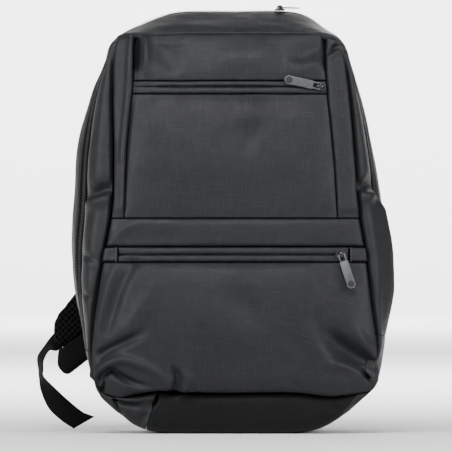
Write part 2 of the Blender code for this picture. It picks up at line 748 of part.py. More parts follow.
def build():
    clear_scene()
    build_seams()
    cloth = material("coated_cloth", (0.045, 0.046, 0.050), 0.62, 0.0)
    pad_mesh = material("spacer_mesh", (0.012, 0.012, 0.013), 0.85, 0.0)
    end_cloth = material("end_cloth", (0.010, 0.010, 0.011), 0.70, 0.0)
    webbing = material("webbing", (0.014, 0.014, 0.015), 0.80, 0.0)
    tape = material("zip_tape", (0.016, 0.016, 0.018), 0.75, 0.0)
    metal = material("gunmetal", (0.16, 0.16, 0.17), 0.42, 0.8)
    plastic = material("black_plastic", (0.012, 0.012, 0.013), 0.45, 0.0)

    half = 0.5 * SEAM
    # Front face
    panel("front_upper_panel", cloth, shifted(left_line, half), shifted(right_line, -half),
          level(UPPER_LIP_HIGH, half), top_edge, (8, 3), 0.0030, PUFF_EVEN)
    panel("left_front_strip", cloth, left_edge, shifted(left_line, -half),
          level(BAND_HIGH, half), top_edge, (1, 10), 0.0035, PUFF_EVEN)
    panel("right_front_strip", cloth, shifted(right_line, half), right_edge,
          level(BAND_HIGH, half), top_edge, (1, 10), 0.0035, PUFF_EVEN)
    panel("upper_zip_top_lip", cloth, shifted(left_line, half), shifted(right_line, -half),
          level(UPPER_SLIT, 0.0004), level(UPPER_LIP_HIGH, -half), (6, 0), LIP_PUFF, PUFF_LIP)
    panel("upper_zip_bottom_lip", cloth, shifted(left_line, half), shifted(right_line, -half),
          level(UPPER_LIP_LOW, half), level(UPPER_SLIT, -0.0004), (6, 0), LIP_PUFF, PUFF_LIP)
    panel("upper_zip_chain", tape, shifted(left_line, 0.004), shifted(right_line, -0.004),
          level(UPPER_LIP_LOW, 0.001), level(UPPER_LIP_HIGH, -0.001), (6, 0), 0.0012, PUFF_LIP,
          TAPE, CLOTH + 0.0018)
    panel("upper_pocket_panel", cloth, shifted(left_line, half), shifted(right_line, -half),
          level(BAND_HIGH, half), level(UPPER_LIP_LOW, -half), (6, 6), 0.0045, PUFF_EVEN)
    panel("mid_band", cloth, left_edge, right_edge,
          level(LOWER_LIP_HIGH, half), level(BAND_HIGH, -half), (8, 1), 0.0030, PUFF_EVEN)
    tabs = (shifted(line(LEFT_TAB_LINE, 0.0), half), shifted(line(RIGHT_TAB_LINE, 0.0), -half))
    panel("lower_zip_top_lip", cloth, tabs[0], tabs[1],
          level(LOWER_SLIT, 0.0004), level(LOWER_LIP_HIGH, -half), (7, 0), LIP_PUFF, PUFF_LIP)
    panel("lower_zip_bottom_lip", cloth, tabs[0], tabs[1],
          level(LOWER_LIP_LOW, half), level(LOWER_SLIT, -0.0004), (7, 0), LIP_PUFF, PUFF_LIP)
    panel("lower_zip_chain", tape, shifted(tabs[0], 0.003), shifted(tabs[1], -0.003),
          level(LOWER_LIP_LOW, 0.001), level(LOWER_LIP_HIGH, -0.001), (7, 0), 0.0012, PUFF_LIP,
          TAPE, CLOTH + 0.0018)
    panel("lower_zip_left_tab", cloth, left_edge, shifted(tabs[0], -SEAM),
          level(LOWER_LIP_LOW, half), level(LOWER_LIP_HIGH, -half), (1, 0), LIP_PUFF, PUFF_LIP)
    panel("lower_zip_right_tab", cloth, shifted(tabs[1], SEAM), right_edge,
          level(LOWER_LIP_LOW, half), level(LOWER_LIP_HIGH, -half), (1, 0), LIP_PUFF, PUFF_LIP)
    panel("lower_pocket_panel", cloth, left_edge, right_edge,
          bottom_edge, level(LOWER_LIP_LOW, -half), (10, 9), 0.0120, PUFF_POCKET)

    # Gussets, main zip, corners and base
    front_last = ZIP_FRONT_RING - 0.04
    gusset("right_gusset", cloth, CELLS[0][0], CELLS[0][1], 0.02, front_last, CLOTH)
    gusset("top_gusset", cloth, CELLS[1][0], CELLS[1][1], 0.02, front_last, CLOTH)
    gusset("left_gusset", cloth, CELLS[2][0], CELLS[2][1], 0.02, front_last, CLOTH)
    gusset("main_zip_chain", tape, CELLS[0][0], CELLS[2][1],
           ZIP_FRONT_RING + 0.05, ZIP_REAR_RING - 0.05, TAPE, CHAIN_CROWN)
    gusset("rear_gusset", cloth, CELLS[0][0], CELLS[2][1], ZIP_REAR_RING + 0.02, LAST_RING - 0.02, CLOTH)
    gusset("left_corner_panel", cloth, CELLS[3][0], CELLS[3][1], 0.02, LAST_RING - 0.02, CLOTH)
    gusset("base_panel", cloth, CELLS[4][0], CELLS[4][1], 0.02, LAST_RING - 0.02, CLOTH)
    gusset("right_corner_panel", cloth, CELLS[5][0], CELLS[5][1], 0.02, LAST_RING - 0.02, CLOTH)

    build_back(cloth)

    # Straps
    skins = (pad_mesh, end_cloth, webbing, plastic)
    turn = math.radians(BUCKLE_TURN)
    step = Vector((-math.sin(turn), 0.0, math.cos(turn)))
    band_y = 0.5 * DEPTH + (0.5 + 0.5 * END_THIN) * PAD_THICK + END_RUN[0][4] * STRAP_BOW
    buckle_y = band_y + BUCKLE_GAP + 0.5 * BUCKLE_THICK
    middle = Vector((BUCKLE_PLACE[0] * HALF_WIDTH, buckle_y, BUCKLE_PLACE[1] * HEIGHT))
    lift = 0.5 * (BUCKLE_THICK + WEB_THICK) + WEB_SLACK
    thread = []
    for place, deep in THREAD:
        spot = middle + step * place * BUCKLE_LENGTH
        thread.append((spot.x, spot.y + deep * lift, spot.z, math.cos(turn), 0.0, math.sin(turn)))
    start = []
    side = Vector(WEB_ROOT_SIDE).normalized() * (0.5 * WEB_WIDTH)
    for x, z in WEB_ROOT:
        x *= HALF_WIDTH
        z *= HEIGHT
        y = max(back_surface(x + side.x * i, z + side.z * i) for i in (-1.0, -0.5, 0.0, 0.5, 1.0))
        start.append((x, y + 3.0 * SEAM + 0.5 * WEB_THICK, z) + WEB_ROOT_SIDE)
    start += spots(WEB_RUN, 0.0)
    run = start + thread + spots(TAIL_RUN, PAD_THICK)
    strap_set("left", skins, pad_rows(PAD_RUN, -1.0, 1.0), pad_rows(END_RUN, -1.0, 1.0),
              ribbon_rows(run), middle, turn)
    middle_right = Vector((-middle.x * RIGHT_STRAP_IN, middle.y, middle.z))
    shift = middle_right.x + middle.x
    run_right = mirrored(start, 0.0)
    run_right[-1] = (run_right[-1][0] + shift * 0.6,) + run_right[-1][1:]
    run_right += mirrored(thread, shift) + spots(RIGHT_TAIL, PAD_THICK)
    strap_set("right", skins, pad_rows(PAD_RUN, 1.0, RIGHT_STRAP_IN), pad_rows(END_RUN, 1.0, RIGHT_STRAP_IN),
              ribbon_rows(run_right), middle_right, -turn)

    # Sliders and pullers
    build_hardware(metal)


def build_back(skin):
    """Padded back panel inside the rear seam."""
    us = [0.0, 0.03, 0.10] + steps(0.2, 0.8, 3) + [0.90, 0.97, 1.0]
    vs = [0.0, 0.03] + steps(0.08, 0.92, 9) + [0.97, 1.0]
    shell("back_panel", skin, us, vs, back_place)


def build_hardware(skin):
    """The three sliders with their pullers."""
    outward = Vector((0.0, -1.0, 0.0))
    upper_ends = (LEFT_LINE[4][1], RIGHT_LINE[4][1])
    lower_ends = (LEFT_TAB_LINE, RIGHT_TAB_LINE)
    for name, place, ends, degrees, swing in (("upper_zip", UPPER_SLIDER, upper_ends, 168.0, -3.0),
                                              ("lower_zip", LOWER_SLIDER, lower_ends, -72.0, -14.0)):
        x = place[0] * HALF_WIDTH
        z = place[1] * HEIGHT
        tops = []
        for i in (-1.0, 0.0, 1.0):
            across = (place[0] + i * SLIDER_HALF / HALF_WIDTH - ends[0]) / (ends[1] - ends[0])
            crest = LIP_PUFF * look(PUFF_ACROSS, across)
            tops += [front_surface(x + i * SLIDER_HALF, z + j * SLIDER_HALF) - crest for j in (-0.7, 0.0, 0.7)]
        y = min(tops) - SEAM
        angle = math.radians(degrees)
        along = Vector((math.cos(angle), 0.0, math.sin(angle)))
        slider_and_puller(name, skin, Vector((x, y, z)), along, outward, swing)
    spot = body_point(TOP_SLIDER_STATION, 4.5, 0, CLOTH)
    spot.z += CHAIN_CROWN + SEAM
    slider_and_puller("top_zip", skin, spot, Vector((0.5, 0.866, 0.0)),
                      Vector((0.0, 0.0, 1.0)), -1.0)


build()
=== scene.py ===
"""Laptop backpack: cloth panels, zips, sliders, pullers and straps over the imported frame.

Metres, +Z up, front towards -Y. Every piece is built from one body form, the same as the solids'.
"""

import math

import bmesh
import bpy
import numpy as np
from bpy.props import FloatProperty, FloatVectorProperty, PointerProperty
from mathutils import Matrix, Vector


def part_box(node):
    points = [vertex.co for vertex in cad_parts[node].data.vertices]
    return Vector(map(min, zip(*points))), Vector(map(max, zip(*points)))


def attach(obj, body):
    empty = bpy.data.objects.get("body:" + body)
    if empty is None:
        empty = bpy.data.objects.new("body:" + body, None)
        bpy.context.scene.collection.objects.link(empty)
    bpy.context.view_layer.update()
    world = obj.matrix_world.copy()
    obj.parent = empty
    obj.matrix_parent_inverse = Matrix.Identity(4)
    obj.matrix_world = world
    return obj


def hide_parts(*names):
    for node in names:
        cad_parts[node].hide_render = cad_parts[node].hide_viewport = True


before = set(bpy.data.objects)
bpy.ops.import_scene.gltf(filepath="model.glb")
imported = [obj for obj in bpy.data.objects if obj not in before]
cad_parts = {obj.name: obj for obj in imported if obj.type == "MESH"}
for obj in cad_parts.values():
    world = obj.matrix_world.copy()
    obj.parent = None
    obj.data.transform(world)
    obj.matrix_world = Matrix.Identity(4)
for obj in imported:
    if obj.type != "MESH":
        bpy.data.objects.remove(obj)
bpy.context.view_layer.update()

bl_info = {
    "name": "Laptop backpack",
    "version": (1, 0, 0),
    "blender": (4, 5, 0),
    "location": "View3D > Sidebar > Backpack",
    "description": "Builds the cloth, zips and straps of a laptop backpack over its packed frame",
    "category": "Object",
}

# Body sizes in metres
HALF_WIDTH = 0.1652
HEIGHT = 0.4315
DEPTH = 0.140
BACK_INSET = 0.018
BACK_PUFF = 0.0040
FRONT_DOME = 0.007
SEAM = 0.0003
LAST_RING = 9.0
BODY_CENTRE = (0.0, 0.0, 0.2)

# Outline stations: front seam x, z and outer form x, z (shares of half width and height),
# counted from the middle of the base to the right, over the top and down the left side
STATIONS = np.array((
    (0.000, 0.095, 0.000, 0.000), (0.364, 0.096, 0.352, 0.000), (0.611, 0.086, 0.537, 0.011),
    (0.772, 0.095, 0.679, 0.040), (0.870, 0.105, 0.802, 0.080), (0.920, 0.139, 0.901, 0.123),
    (0.907, 0.208, 0.951, 0.196), (0.870, 0.314, 0.981, 0.314), (0.833, 0.433, 1.000, 0.421),
    (0.790, 0.539, 0.944, 0.532), (0.765, 0.669, 0.883, 0.674), (0.738, 0.787, 0.815, 0.787),
    (0.710, 0.877, 0.744, 0.877), (0.680, 0.922, 0.689, 0.926), (0.599, 0.943, 0.586, 0.957),
    (0.426, 0.945, 0.401, 0.996), (0.000, 0.945, 0.000, 1.000), (-0.377, 0.945, -0.352, 0.996),
    (-0.655, 0.943, -0.593, 0.962), (-0.716, 0.924, -0.735, 0.925), (-0.735, 0.877, -0.790, 0.877),
    (-0.738, 0.787, -0.883, 0.787), (-0.731, 0.669, -0.957, 0.674), (-0.738, 0.539, -0.981, 0.537),
    (-0.784, 0.433, -0.994, 0.433), (-0.827, 0.333, -0.969, 0.333), (-0.858, 0.234, -0.920, 0.234),
    (-0.864, 0.161, -0.883, 0.161), (-0.809, 0.104, -0.802, 0.087), (-0.673, 0.086, -0.679, 0.045),
    (-0.451, 0.097, -0.525, 0.009), (-0.253, 0.095, -0.284, 0.000),
))
# Section of the gusset: out share and depth share for the sides, the top and the base
SECTION = np.array((
    (0.00, 0.00, 0.00, 0.00, 0.00, 0.000), (0.34, 0.02, 0.30, 0.10, 0.55, 0.015),
    (0.58, 0.10, 0.55, 0.20, 0.90, 0.060), (0.64, 0.22, 0.80, 0.31, 1.00, 0.140),
    (0.60, 0.30, 0.95, 0.40, 1.00, 0.280), (0.85, 0.37, 1.00, 0.50, 1.00, 0.400),
    (0.97, 0.50, 0.98, 0.60, 1.00, 0.550), (1.00, 0.66, 0.92, 0.74, 1.00, 0.700),
    (0.98, 0.84, 0.80, 0.88, 1.00, 0.860), (1.00, 1.00, 1.00, 1.00, 1.00, 1.000),
))
# Stations where the cloths meet, and the gaps left at stations and rings
BASE_LEFT = 30.0
BASE_RIGHT = 35.0
LOW_RIGHT = 6.3
LOW_LEFT = 26.5
TOP_RIGHT = 13.0
TOP_LEFT = 19.0
CUT = 0.005
RING_GAP = 0.02
ZIP_FRONT_RING = 4.0
ZIP_REAR_RING = 5.0

LEAN = ((0.00, 0.04), (0.09, 0.03), (0.25, 0.00), (0.43, 0.03), (0.52, 0.05),
        (0.80, 0.13), (0.94, 0.20), (1.00, 0.24))
BACK_LEAN = ((0.00, 0.05), (0.10, 0.01), (0.30, 0.00), (0.70, 0.01), (0.95, 0.05), (1.00, 0.07))
PUFF_ACROSS = ((0.00, 0.00), (0.03, 0.35), (0.10, 0.72), (0.25, 0.95), (0.50, 1.00),
               (0.75, 0.95), (0.90, 0.72), (0.97, 0.35), (1.00, 0.00))
PUFF_EVEN = ((0.00, 0.00), (0.06, 0.50), (0.20, 0.90), (0.50, 1.00), (0.80, 0.90), (0.94, 0.50),
             (1.00, 0.00))
PUFF_SOFT = ((0.00, 0.00), (0.08, 0.42), (0.25, 0.82), (0.50, 1.00), (0.75, 0.86), (0.92, 0.46),
             (1.00, 0.00))
PUFF_POCKET = ((0.00, 0.00), (0.02, 0.40), (0.06, 0.76), (0.14, 0.95), (0.30, 1.00),
               (0.55, 0.90), (0.80, 0.55), (0.95, 0.22), (1.00, 0.10))
PUFF_FULL = ((0.00, 0.00), (0.02, 0.40), (0.06, 0.76), (0.14, 0.95), (0.30, 1.00),
             (0.55, 0.96), (0.80, 0.84), (0.93, 0.62), (0.98, 0.32), (1.00, 0.10))
PUFF_LIP = ((0.00, 0.00), (0.12, 0.60), (0.35, 0.97), (0.60, 0.97), (0.88, 0.60), (1.00, 0.00))
LEFT_STRIP_PROFILE = ((0.00, 0.00), (0.20, 0.30), (0.50, 0.55), (0.85, 0.95), (0.97, 1.00), (1.00, 0.97))
RIGHT_STRIP_PROFILE = ((0.00, 0.40), (0.10, 0.80), (0.35, 0.95), (0.70, 0.90), (0.90, 0.75), (1.00, 0.40))

# Inner lines of the upright strips and the level seams of the front, shares
LEFT_LINE = ((0.500, -0.657), (0.610, -0.648), (0.693, -0.636), (0.764, -0.617), (0.835, -0.602),
             (0.882, -0.602), (0.940, -0.599))
RIGHT_LINE = ((0.500, 0.654), (0.551, 0.648), (0.650, 0.632), (0.735, 0.611), (0.801, 0.593),
              (0.870, 0.583), (0.940, 0.586))
UPPER_SLIT = 0.8173
UPPER_LIP_HIGH = UPPER_SLIT + 0.0141
UPPER_LIP_LOW = UPPER_SLIT - 0.0171
BAND_HIGH = 0.5076
LOWER_SLIT = 0.4220
LOWER_LIP_HIGH = LOWER_SLIT + 0.0180
LOWER_LIP_LOW = LOWER_SLIT - 0.0177
LEFT_TAB_LINE = -0.694
RIGHT_TAB_LINE = 0.725
STITCH_IN = 0.0018
# Gaps between a cloth's edge and an upright line, a level line and the front seam
LINE_GAP = 0.0003
LEVEL_GAP = 0.0004
EDGE_GAP = 0.0006

FOLD_GAIN = 1.8
# Folds seen on the front, in millimetres: width, height, share left at the start and at the end,
# and the x, z places the fold runs through
FOLDS = (
    (4.2, 2.8, 0.6, 0.2, ((-86.5, 400.0), (-86.0, 385.5), (-87.0, 361.0))),
    (13.3, -3.2, 0.7, 0.3, ((-70.5, 399.0), (-64.5, 386.5), (-48.0, 367.0))),
    (3.5, 0.7, 0.5, 0.3, ((-75.5, 401.0), (-66.5, 396.5), (-54.0, 397.0), (-45.0, 402.0))),
    (13.3, 1.8, 0.2, 0.2, ((-26.5, 376.5), (14.5, 382.5), (55.0, 378.5))),
    (10.0, -2.6, 0.8, 0.1, ((95.0, 399.0), (83.0, 391.0), (70.0, 384.0), (56.0, 380.0))),
    (7.5, 1.0, 0.2, 0.5, ((60.0, 373.5), (76.5, 374.5), (92.0, 374.5))),
    (2.7, -4.2, 0.6, 0.8, ((101.0, 387.5), (107.0, 393.0), (116.5, 392.0))),
    (3.1, 1.8, 0.6, 0.6, ((100.0, 382.5), (107.0, 387.5), (118.5, 388.5))),
    (3.5, 1.6, 0.8, 0.6, ((-101.5, 399.0), (-102.5, 380.5), (-103.5, 356.0), (-106.5, 319.5),
                          (-110.5, 278.5))),
    (12.2, 1.4, 0.3, 0.1, ((-82.5, 341.5), (-82.5, 321.5), (-74.5, 288.5))),
    (12.2, 1.2, 0.4, 0.1, ((21.5, 342.5), (21.5, 327.5), (25.5, 311.0))),
    (14.3, -1.4, 0.2, 0.2, ((7.0, 301.0), (31.5, 299.0))),
    (16.3, -1.0, 0.2, 0.2, ((-72.5, 253.0), (-1.0, 241.5), (70.5, 248.0))),
    (5.1, 1.4, 0.4, 0.1, ((-121.5, 193.0), (-111.0, 205.0), (-93.0, 215.0))),
    (8.2, -1.2, 0.2, 0.2, ((-103.0, 201.0), (-72.5, 199.0), (-42.0, 201.0))),
    (6.1, -3.0, 0.8, 0.5, ((-100.0, 172.5), (-112.0, 149.0), (-119.5, 124.5), (-126.5, 105.0))),
    (5.6, 2.2, 0.5, 0.4, ((-115.5, 172.5), (-124.5, 146.0), (-131.5, 113.0), (-134.5, 90.0))),
    (8.2, 1.8, 0.4, 0.2, ((-82.5, 146.0), (-95.0, 120.5), (-115.5, 99.0))),
    (4.7, -3.4, 0.1, 0.9, ((-82.5, 107.0), (-102.0, 97.0), (-119.5, 88.5), (-130.5, 81.5))),
    (4.5, 3.2, 0.9, 0.3, ((-137.5, 60.0), (-130.5, 68.0), (-123.5, 73.5), (-111.0, 77.5), (-96.0, 74.5),
                          (-76.5, 65.5), (-62.0, 53.0))),
    (3.5, -3.8, 0.9, 0.2, ((-135.5, 55.5), (-127.5, 62.0), (-120.5, 65.5), (-112.0, 60.0), (-99.0, 54.0),
                           (-79.5, 50.0))),
    (3.1, 1.8, 0.3, 0.2, ((-121.5, 58.0), (-111.0, 53.0), (-93.0, 48.0), (-76.5, 48.0))),
    (4.3, -3.2, 0.2, 0.9, ((-61.0, 72.5), (-54.0, 58.0), (-58.0, 43.0))),
    (4.6, 2.2, 0.2, 0.8, ((-49.0, 68.5), (-43.0, 56.0), (-48.0, 44.0))),
    (1.1, -3.4, 0.6, 0.6, ((-128.5, 56.0), (-128.5, 51.0), (-132.5, 41.5))),
    (10.5, -8.0, 0.2, 0.9, ((88.5, 113.0), (107.0, 93.0), (124.5, 79.5), (143.0, 70.5))),
    (6.1, 2.4, 0.3, 0.6, ((123.5, 109.0), (134.5, 92.0), (146.0, 76.5))),
    (5.6, 2.8, 0.2, 0.5, ((97.0, 72.5), (113.0, 72.5), (131.5, 64.5))),
    (1.3, -3.6, 0.7, 0.6, ((133.0, 66.0), (136.5, 60.0), (143.0, 55.0))),
    (2.7, 1.8, 0.5, 0.5, ((137.5, 67.5), (143.0, 61.0), (148.0, 56.0))),
    (4.1, -1.4, 0.2, 0.5, ((63.0, 58.0), (68.5, 46.0))),
    (22.4, 1.6, 0.2, 0.2, ((-42.0, 125.5), (9.0, 105.0), (60.0, 115.5))),
    (12.2, -1.2, 0.1, 0.1, ((-6.0, 146.0), (19.5, 125.5), (31.5, 90.0))),
    (6.1, -1.6, 0.4, 0.4, ((101.0, 29.5), (111.0, 23.5), (123.5, 25.5))),
    (10.2, 1.5, 0.3, 0.3, ((-57.0, 30.5), (4.0, 31.5), (70.5, 30.5))),
    (1.5, -5.0, 0.8, 0.9, ((-118.5, 34.0), (-99.0, 30.0), (-79.5, 29.5), (-75.0, 39.0))),
    (2.4, 2.6, 0.6, 0.6, ((-113.0, 37.0), (-97.0, 35.0), (-80.5, 37.5))),
    (3.1, 2.0, 0.4, 0.5, ((-105.0, 25.0), (-91.0, 24.0), (-81.5, 25.5))),
    (1.3, -3.0, 0.8, 0.4, ((-119.0, 34.0), (-115.5, 26.5), (-110.0, 17.5))),
    (4.1, -1.8, 0.6, 0.1, ((-82.5, 25.5), (-92.0, 13.5), (-94.0, 3.0))),
)
# Pinches of the side gussets: height, half height, depth (mm), rise of the crease across the gusset
# (mm), and 1 where the cloth below stands out as a folded ridge
SIDE_PINCHES = (
    ("left", 243.0, 8.0, 11.0, -6.0, 0.8), ("left", 180.5, 5.0, 2.6, 6.0, 0.3),
    ("left", 141.5, 4.5, 2.0, 5.0, 0.3), ("right", 252.0, 8.0, 10.0, 2.0, 0.8),
    ("right", 395.0, 5.0, 2.0, 8.0, 0.2),
)

# Left strap: outer edge x and z, inner edge x and z, bow behind the back
PAD_RUN = (
    (-0.4237, 0.9270, -0.0847, 0.9270, 0.0), (-0.4722, 0.8575, -0.1211, 0.8482, 0.062),
    (-0.5508, 0.7370, -0.1937, 0.7138, 0.450), (-0.6659, 0.6072, -0.3087, 0.5747, 0.750),
    (-0.8172, 0.4681, -0.4540, 0.4403, 0.775), (-0.9722, 0.3333, -0.5993, 0.3244, 0.575),
    (-1.0835, 0.2735, -0.6780, 0.2920, 0.437), (-1.1041, 0.2317, -0.7324, 0.2758, 0.362),
    (-1.0666, 0.1854, -0.7748, 0.2630, 0.312),
)
END_RUN = ((-1.0623, 0.1819, -0.7760, 0.2596, 0.310), (-1.0654, 0.1530, -0.7990, 0.2317, 0.287),
           (-1.0230, 0.1321, -0.8475, 0.1854, 0.275))
PAD_THICK = 0.0120
PAD_SIDES = 48
END_THIN = 0.9
END_PROUD = 0.0016
STRAP_BOW = 0.0400
WEB_WIDTH = 0.0250
WEB_THICK = 0.0016
HEM_LENGTH = 0.014
# Cloth simulation that swells the foam
FOAM_VOXEL = 0.0040
FOAM_MOST = 0.0012
FOAM_FRAMES = 20
FOAM_CLOTH = {"use_pressure": True, "uniform_pressure_force": 4.0, "mass": 0.3, "tension_stiffness": 40.0,
              "compression_stiffness": 40.0, "bending_stiffness": 4.0}
WEB_ROOT = ((-0.5390, 0.0980), (-0.5720, 0.1210))
WEB_ROOT_SIDE = (0.86, 0.00, 0.51)
WEB_RUN = ((-0.6120, 0.160, 0.1380, 0.86, 0.00, 0.51), (-0.6900, 0.640, 0.1600, 0.84, 0.00, 0.54))
TAIL_RUN = (
    (-1.0109, 0.800, 0.2341, 0.10, 0.10, 0.95), (-1.0860, 0.700, 0.2070, -0.21, 0.76, 0.62),
    (-1.1368, 0.500, 0.1937, -0.23, 0.96, 0.12), (-1.1743, 0.412, 0.1692, -0.26, 0.96, 0.10),
    (-1.1725, 0.362, 0.1437, -0.20, 0.98, 0.00), (-1.1683, 0.312, 0.1251, -0.20, 0.98, -0.02),
    (-1.1230, 0.237, 0.0930, -0.64, 0.76, -0.06), (-1.0580, 0.175, 0.0580, -0.89, 0.36, -0.25),
    (-0.9760, 0.150, 0.0300, -0.95, 0.05, -0.32), (-0.9040, 0.150, 0.0155, -0.86, 0.00, -0.50),
)
LEFT_STRAP_OUT = 1.022
RIGHT_STRAP_IN = 0.80
RIGHT_TAIL = (
    (0.7960, 0.775, 0.2514, -0.71, 0.00, 0.71), (0.8063, 0.912, 0.2514, -0.71, 0.00, 0.71),
    (0.7900, 1.005, 0.2387, -0.75, 0.00, 0.66), (0.7476, 1.037, 0.2132, -0.85, 0.00, 0.50),
    (0.6700, 1.025, 0.1622, -0.95, 0.00, 0.30), (0.5950, 0.987, 0.1043, -1.00, 0.00, 0.12),
    (0.5250, 0.950, 0.0463, -1.00, 0.00, 0.00), (0.4800, 0.937, 0.0100, -1.00, 0.00, 0.00),
)
BUCKLE_TURN = math.radians(45.0)
BUCKLE_PLACE = (-0.8717, 0.2132)
BUCKLE_GAP = 0.0092
BUCKLE_LENGTH = 0.0325
BUCKLE_SIDE = 0.0030
BUCKLE_THICK = 0.0030
WEB_SLACK = 0.0008
LOOP_WIDTH = 0.0180
LOOP_THICK = 0.0012
BUCKLE_BARS = (-0.505, -0.431, -0.191, -0.117, 0.117, 0.191, 0.422, 0.495)
THREAD = ((-0.677, 2.6), (-0.431, 2.4), (-0.209, 1.02), (-0.098, 1.0), (0.0, 0.0),
          (0.098, -1.0), (0.209, -1.0), (0.308, 0.0), (0.406, 1.0), (0.523, 1.45))
LOOP_ROOT = (0.480, 0.340)
LOOP = ((0.150, -2.4), (0.0, -1.50), (-0.092, -0.82), (-0.111, 0.0), (-0.092, 0.82),
        (0.0, 1.32), (0.092, 0.82), (0.111, -0.18))

# Zip hardware
SLIDER_HALF = 0.0060
SLIDER_BASE = 0.0018
BRIDGE_GAP = 0.0024
BRIDGE_WALL = 0.0014
BRIDGE_SINK = 0.0002
PULLER_LENGTH = 0.0370
PULLER_WIDTH = 0.0088
PULLER_THICK = 0.0012
PULLER_TIP = 0.0028
PULLER_SLOT = 0.0022
INLAY_RADIUS = 0.0034
INLAY_IN = 0.0048
HATCH_PITCH = 0.0013
# Zips: name, body of the puller, way of the puller on the front and turn of the slider's body
# in degrees, swing of the puller at rest
ZIP_PULLS = (("upper_zip", "upper_puller", 168.0, 0.0, -3.0),
             ("lower_zip", "lower_puller", -72.0, -72.0, -14.0),
             ("top_zip", "top_puller", 0.0, 0.0, -1.0))
TOP_PULL_WAY = (0.5, 0.866, 0.0)

# Rolled edges of the cloth: how far in the roll starts, how deep it ends
SEAM_ROLL = (0.0032, 0.0038)
DEEP_ROLL = (0.0044, 0.0085)
FINE_ROLL = (0.0012, 0.0012)
LIP_ROLL = (0.0012, 0.0014)
BUTT_ROLL = (0.0006, 0.0005)
REAR_ROLL = (0.0022, 0.0024)
TAPE_WALL = 0.0008

# Finishes: mirror share of matt cloth, foam seen through the holes of the mesh with painted shade inside the
# holes; hard finishes as colour, metallic, roughness, how much it varies, scale of the grain
MATT_SHINE = 0.06
# Painted shade: the base cloth's colours are darkened to this share of the coated cloth's, standing in for
# the shade on the underside
BASE_PAINTED_SHADE = 0.42
FOAM_AND_HOLE_SHADE_COLOUR = (0.0012, 0.0012, 0.0013)
HARD_FINISHES = {
    "slider_finish": ((0.050, 0.050, 0.054), 0.90, 0.25, 0.04, 4200.0),
    "black_plastic_finish": ((0.010, 0.010, 0.011), 0.0, 0.46, 0.06, 3500.0),
    "zip_coil_finish": ((0.013, 0.013, 0.014), 0.0, 0.38, 0.05, 2500.0),
    "stitch_thread": ((0.035, 0.035, 0.038), 0.0, 0.70, 0.05, 6000.0),
}

# Stage: floor as half width, start, flat length, bend radius and way past the flat part
FLOOR_HALF = 12.0
FLOOR_START = -8.0
FLOOR_FLAT = 16.5
FLOOR_BEND = 1.5
BACKDROP_WAY = 2.3
AIR_STRENGTH = 0.17
# Lights: name, place, aim, size, watts
LIGHTS = (
    ("key_above", (-0.12, -1.00, 1.15), (0.0, -0.05, 0.24), (0.9, 0.45), 19.0),
    ("fill_front", (0.7, -2.6, 0.9), (0.0, 0.0, 0.24), (1.2, 1.2), 3.0),
    ("side_left", (-1.5, -1.1, 0.8), (0.0, 0.0, 0.28), (0.4, 1.0), 29.0),
    ("side_right", (1.5, -1.1, 0.8), (0.0, 0.0, 0.28), (0.4, 1.0), 28.0),
    ("fill_back", (0.3, 2.4, 1.5), (0.0, 0.0, 0.30), (1.2, 0.8), 22.0),
    ("top_sheen", (0.0, 1.3, 1.5), (0.0, 0.0, 0.42), (0.9, 0.3), 4.5),
    ("wash_front", (0.0, -4.0, 2.4), (0.0, -7.5, 0.0), (6.0, 1.2), 380.0),
    ("wash_left", (-4.0, 0.0, 2.4), (-7.5, 0.0, 0.0), (6.0, 1.2), 300.0),
    ("wash_right", (4.0, 0.0, 2.4), (7.5, 0.0, 0.0), (6.0, 1.2), 300.0),
    ("floor_wash", (0.0, 1.3, 2.2), (0.0, 5.0, 0.0), (6.0, 1.2), 520.0),
    ("backdrop_wash", (0.0, 6.0, 3.2), (0.0, 10.0, 0.3), (7.0, 1.5), 1100.0),
)
# Camera: its x and height, the width of the view at the front face and that face's nearness
VIEW_X = -0.0051
VIEW_HEIGHT = 0.2111
VIEW_WIDTH = 0.461
VIEW_FRONT = 0.03
SENSOR = 36.0


class BackpackSizes(bpy.types.PropertyGroup):
    """Sizes that a user would change."""
    wall: FloatProperty(name="Cloth wall", description="Thickness of the coated cloth",
                        default=0.0010, unit="LENGTH", precision=4)
    step: FloatProperty(name="Cloth step", description="Spacing of the cloth's mesh",
                        default=0.0015, unit="LENGTH", precision=4)
    skirt: FloatProperty(name="Seam allowance", description="Depth of the cloth turned in behind a seam",
                         default=0.0045, unit="LENGTH", precision=4)
    crinkle: FloatProperty(name="Crinkle", description="Height of the small dents of the cloth",
                           default=0.00055, unit="LENGTH", precision=5)
    tooth_pitch: FloatProperty(name="Tooth pitch", description="Spacing of the zip coils",
                               default=0.0016, unit="LENGTH", precision=4)
    stitch_pitch: FloatProperty(name="Stitch pitch", description="Spacing of the stitches",
                                default=0.0026, unit="LENGTH", precision=4)
    view_distance: FloatProperty(name="View distance", description="Distance of the camera",
                                 default=6.0, unit="LENGTH")


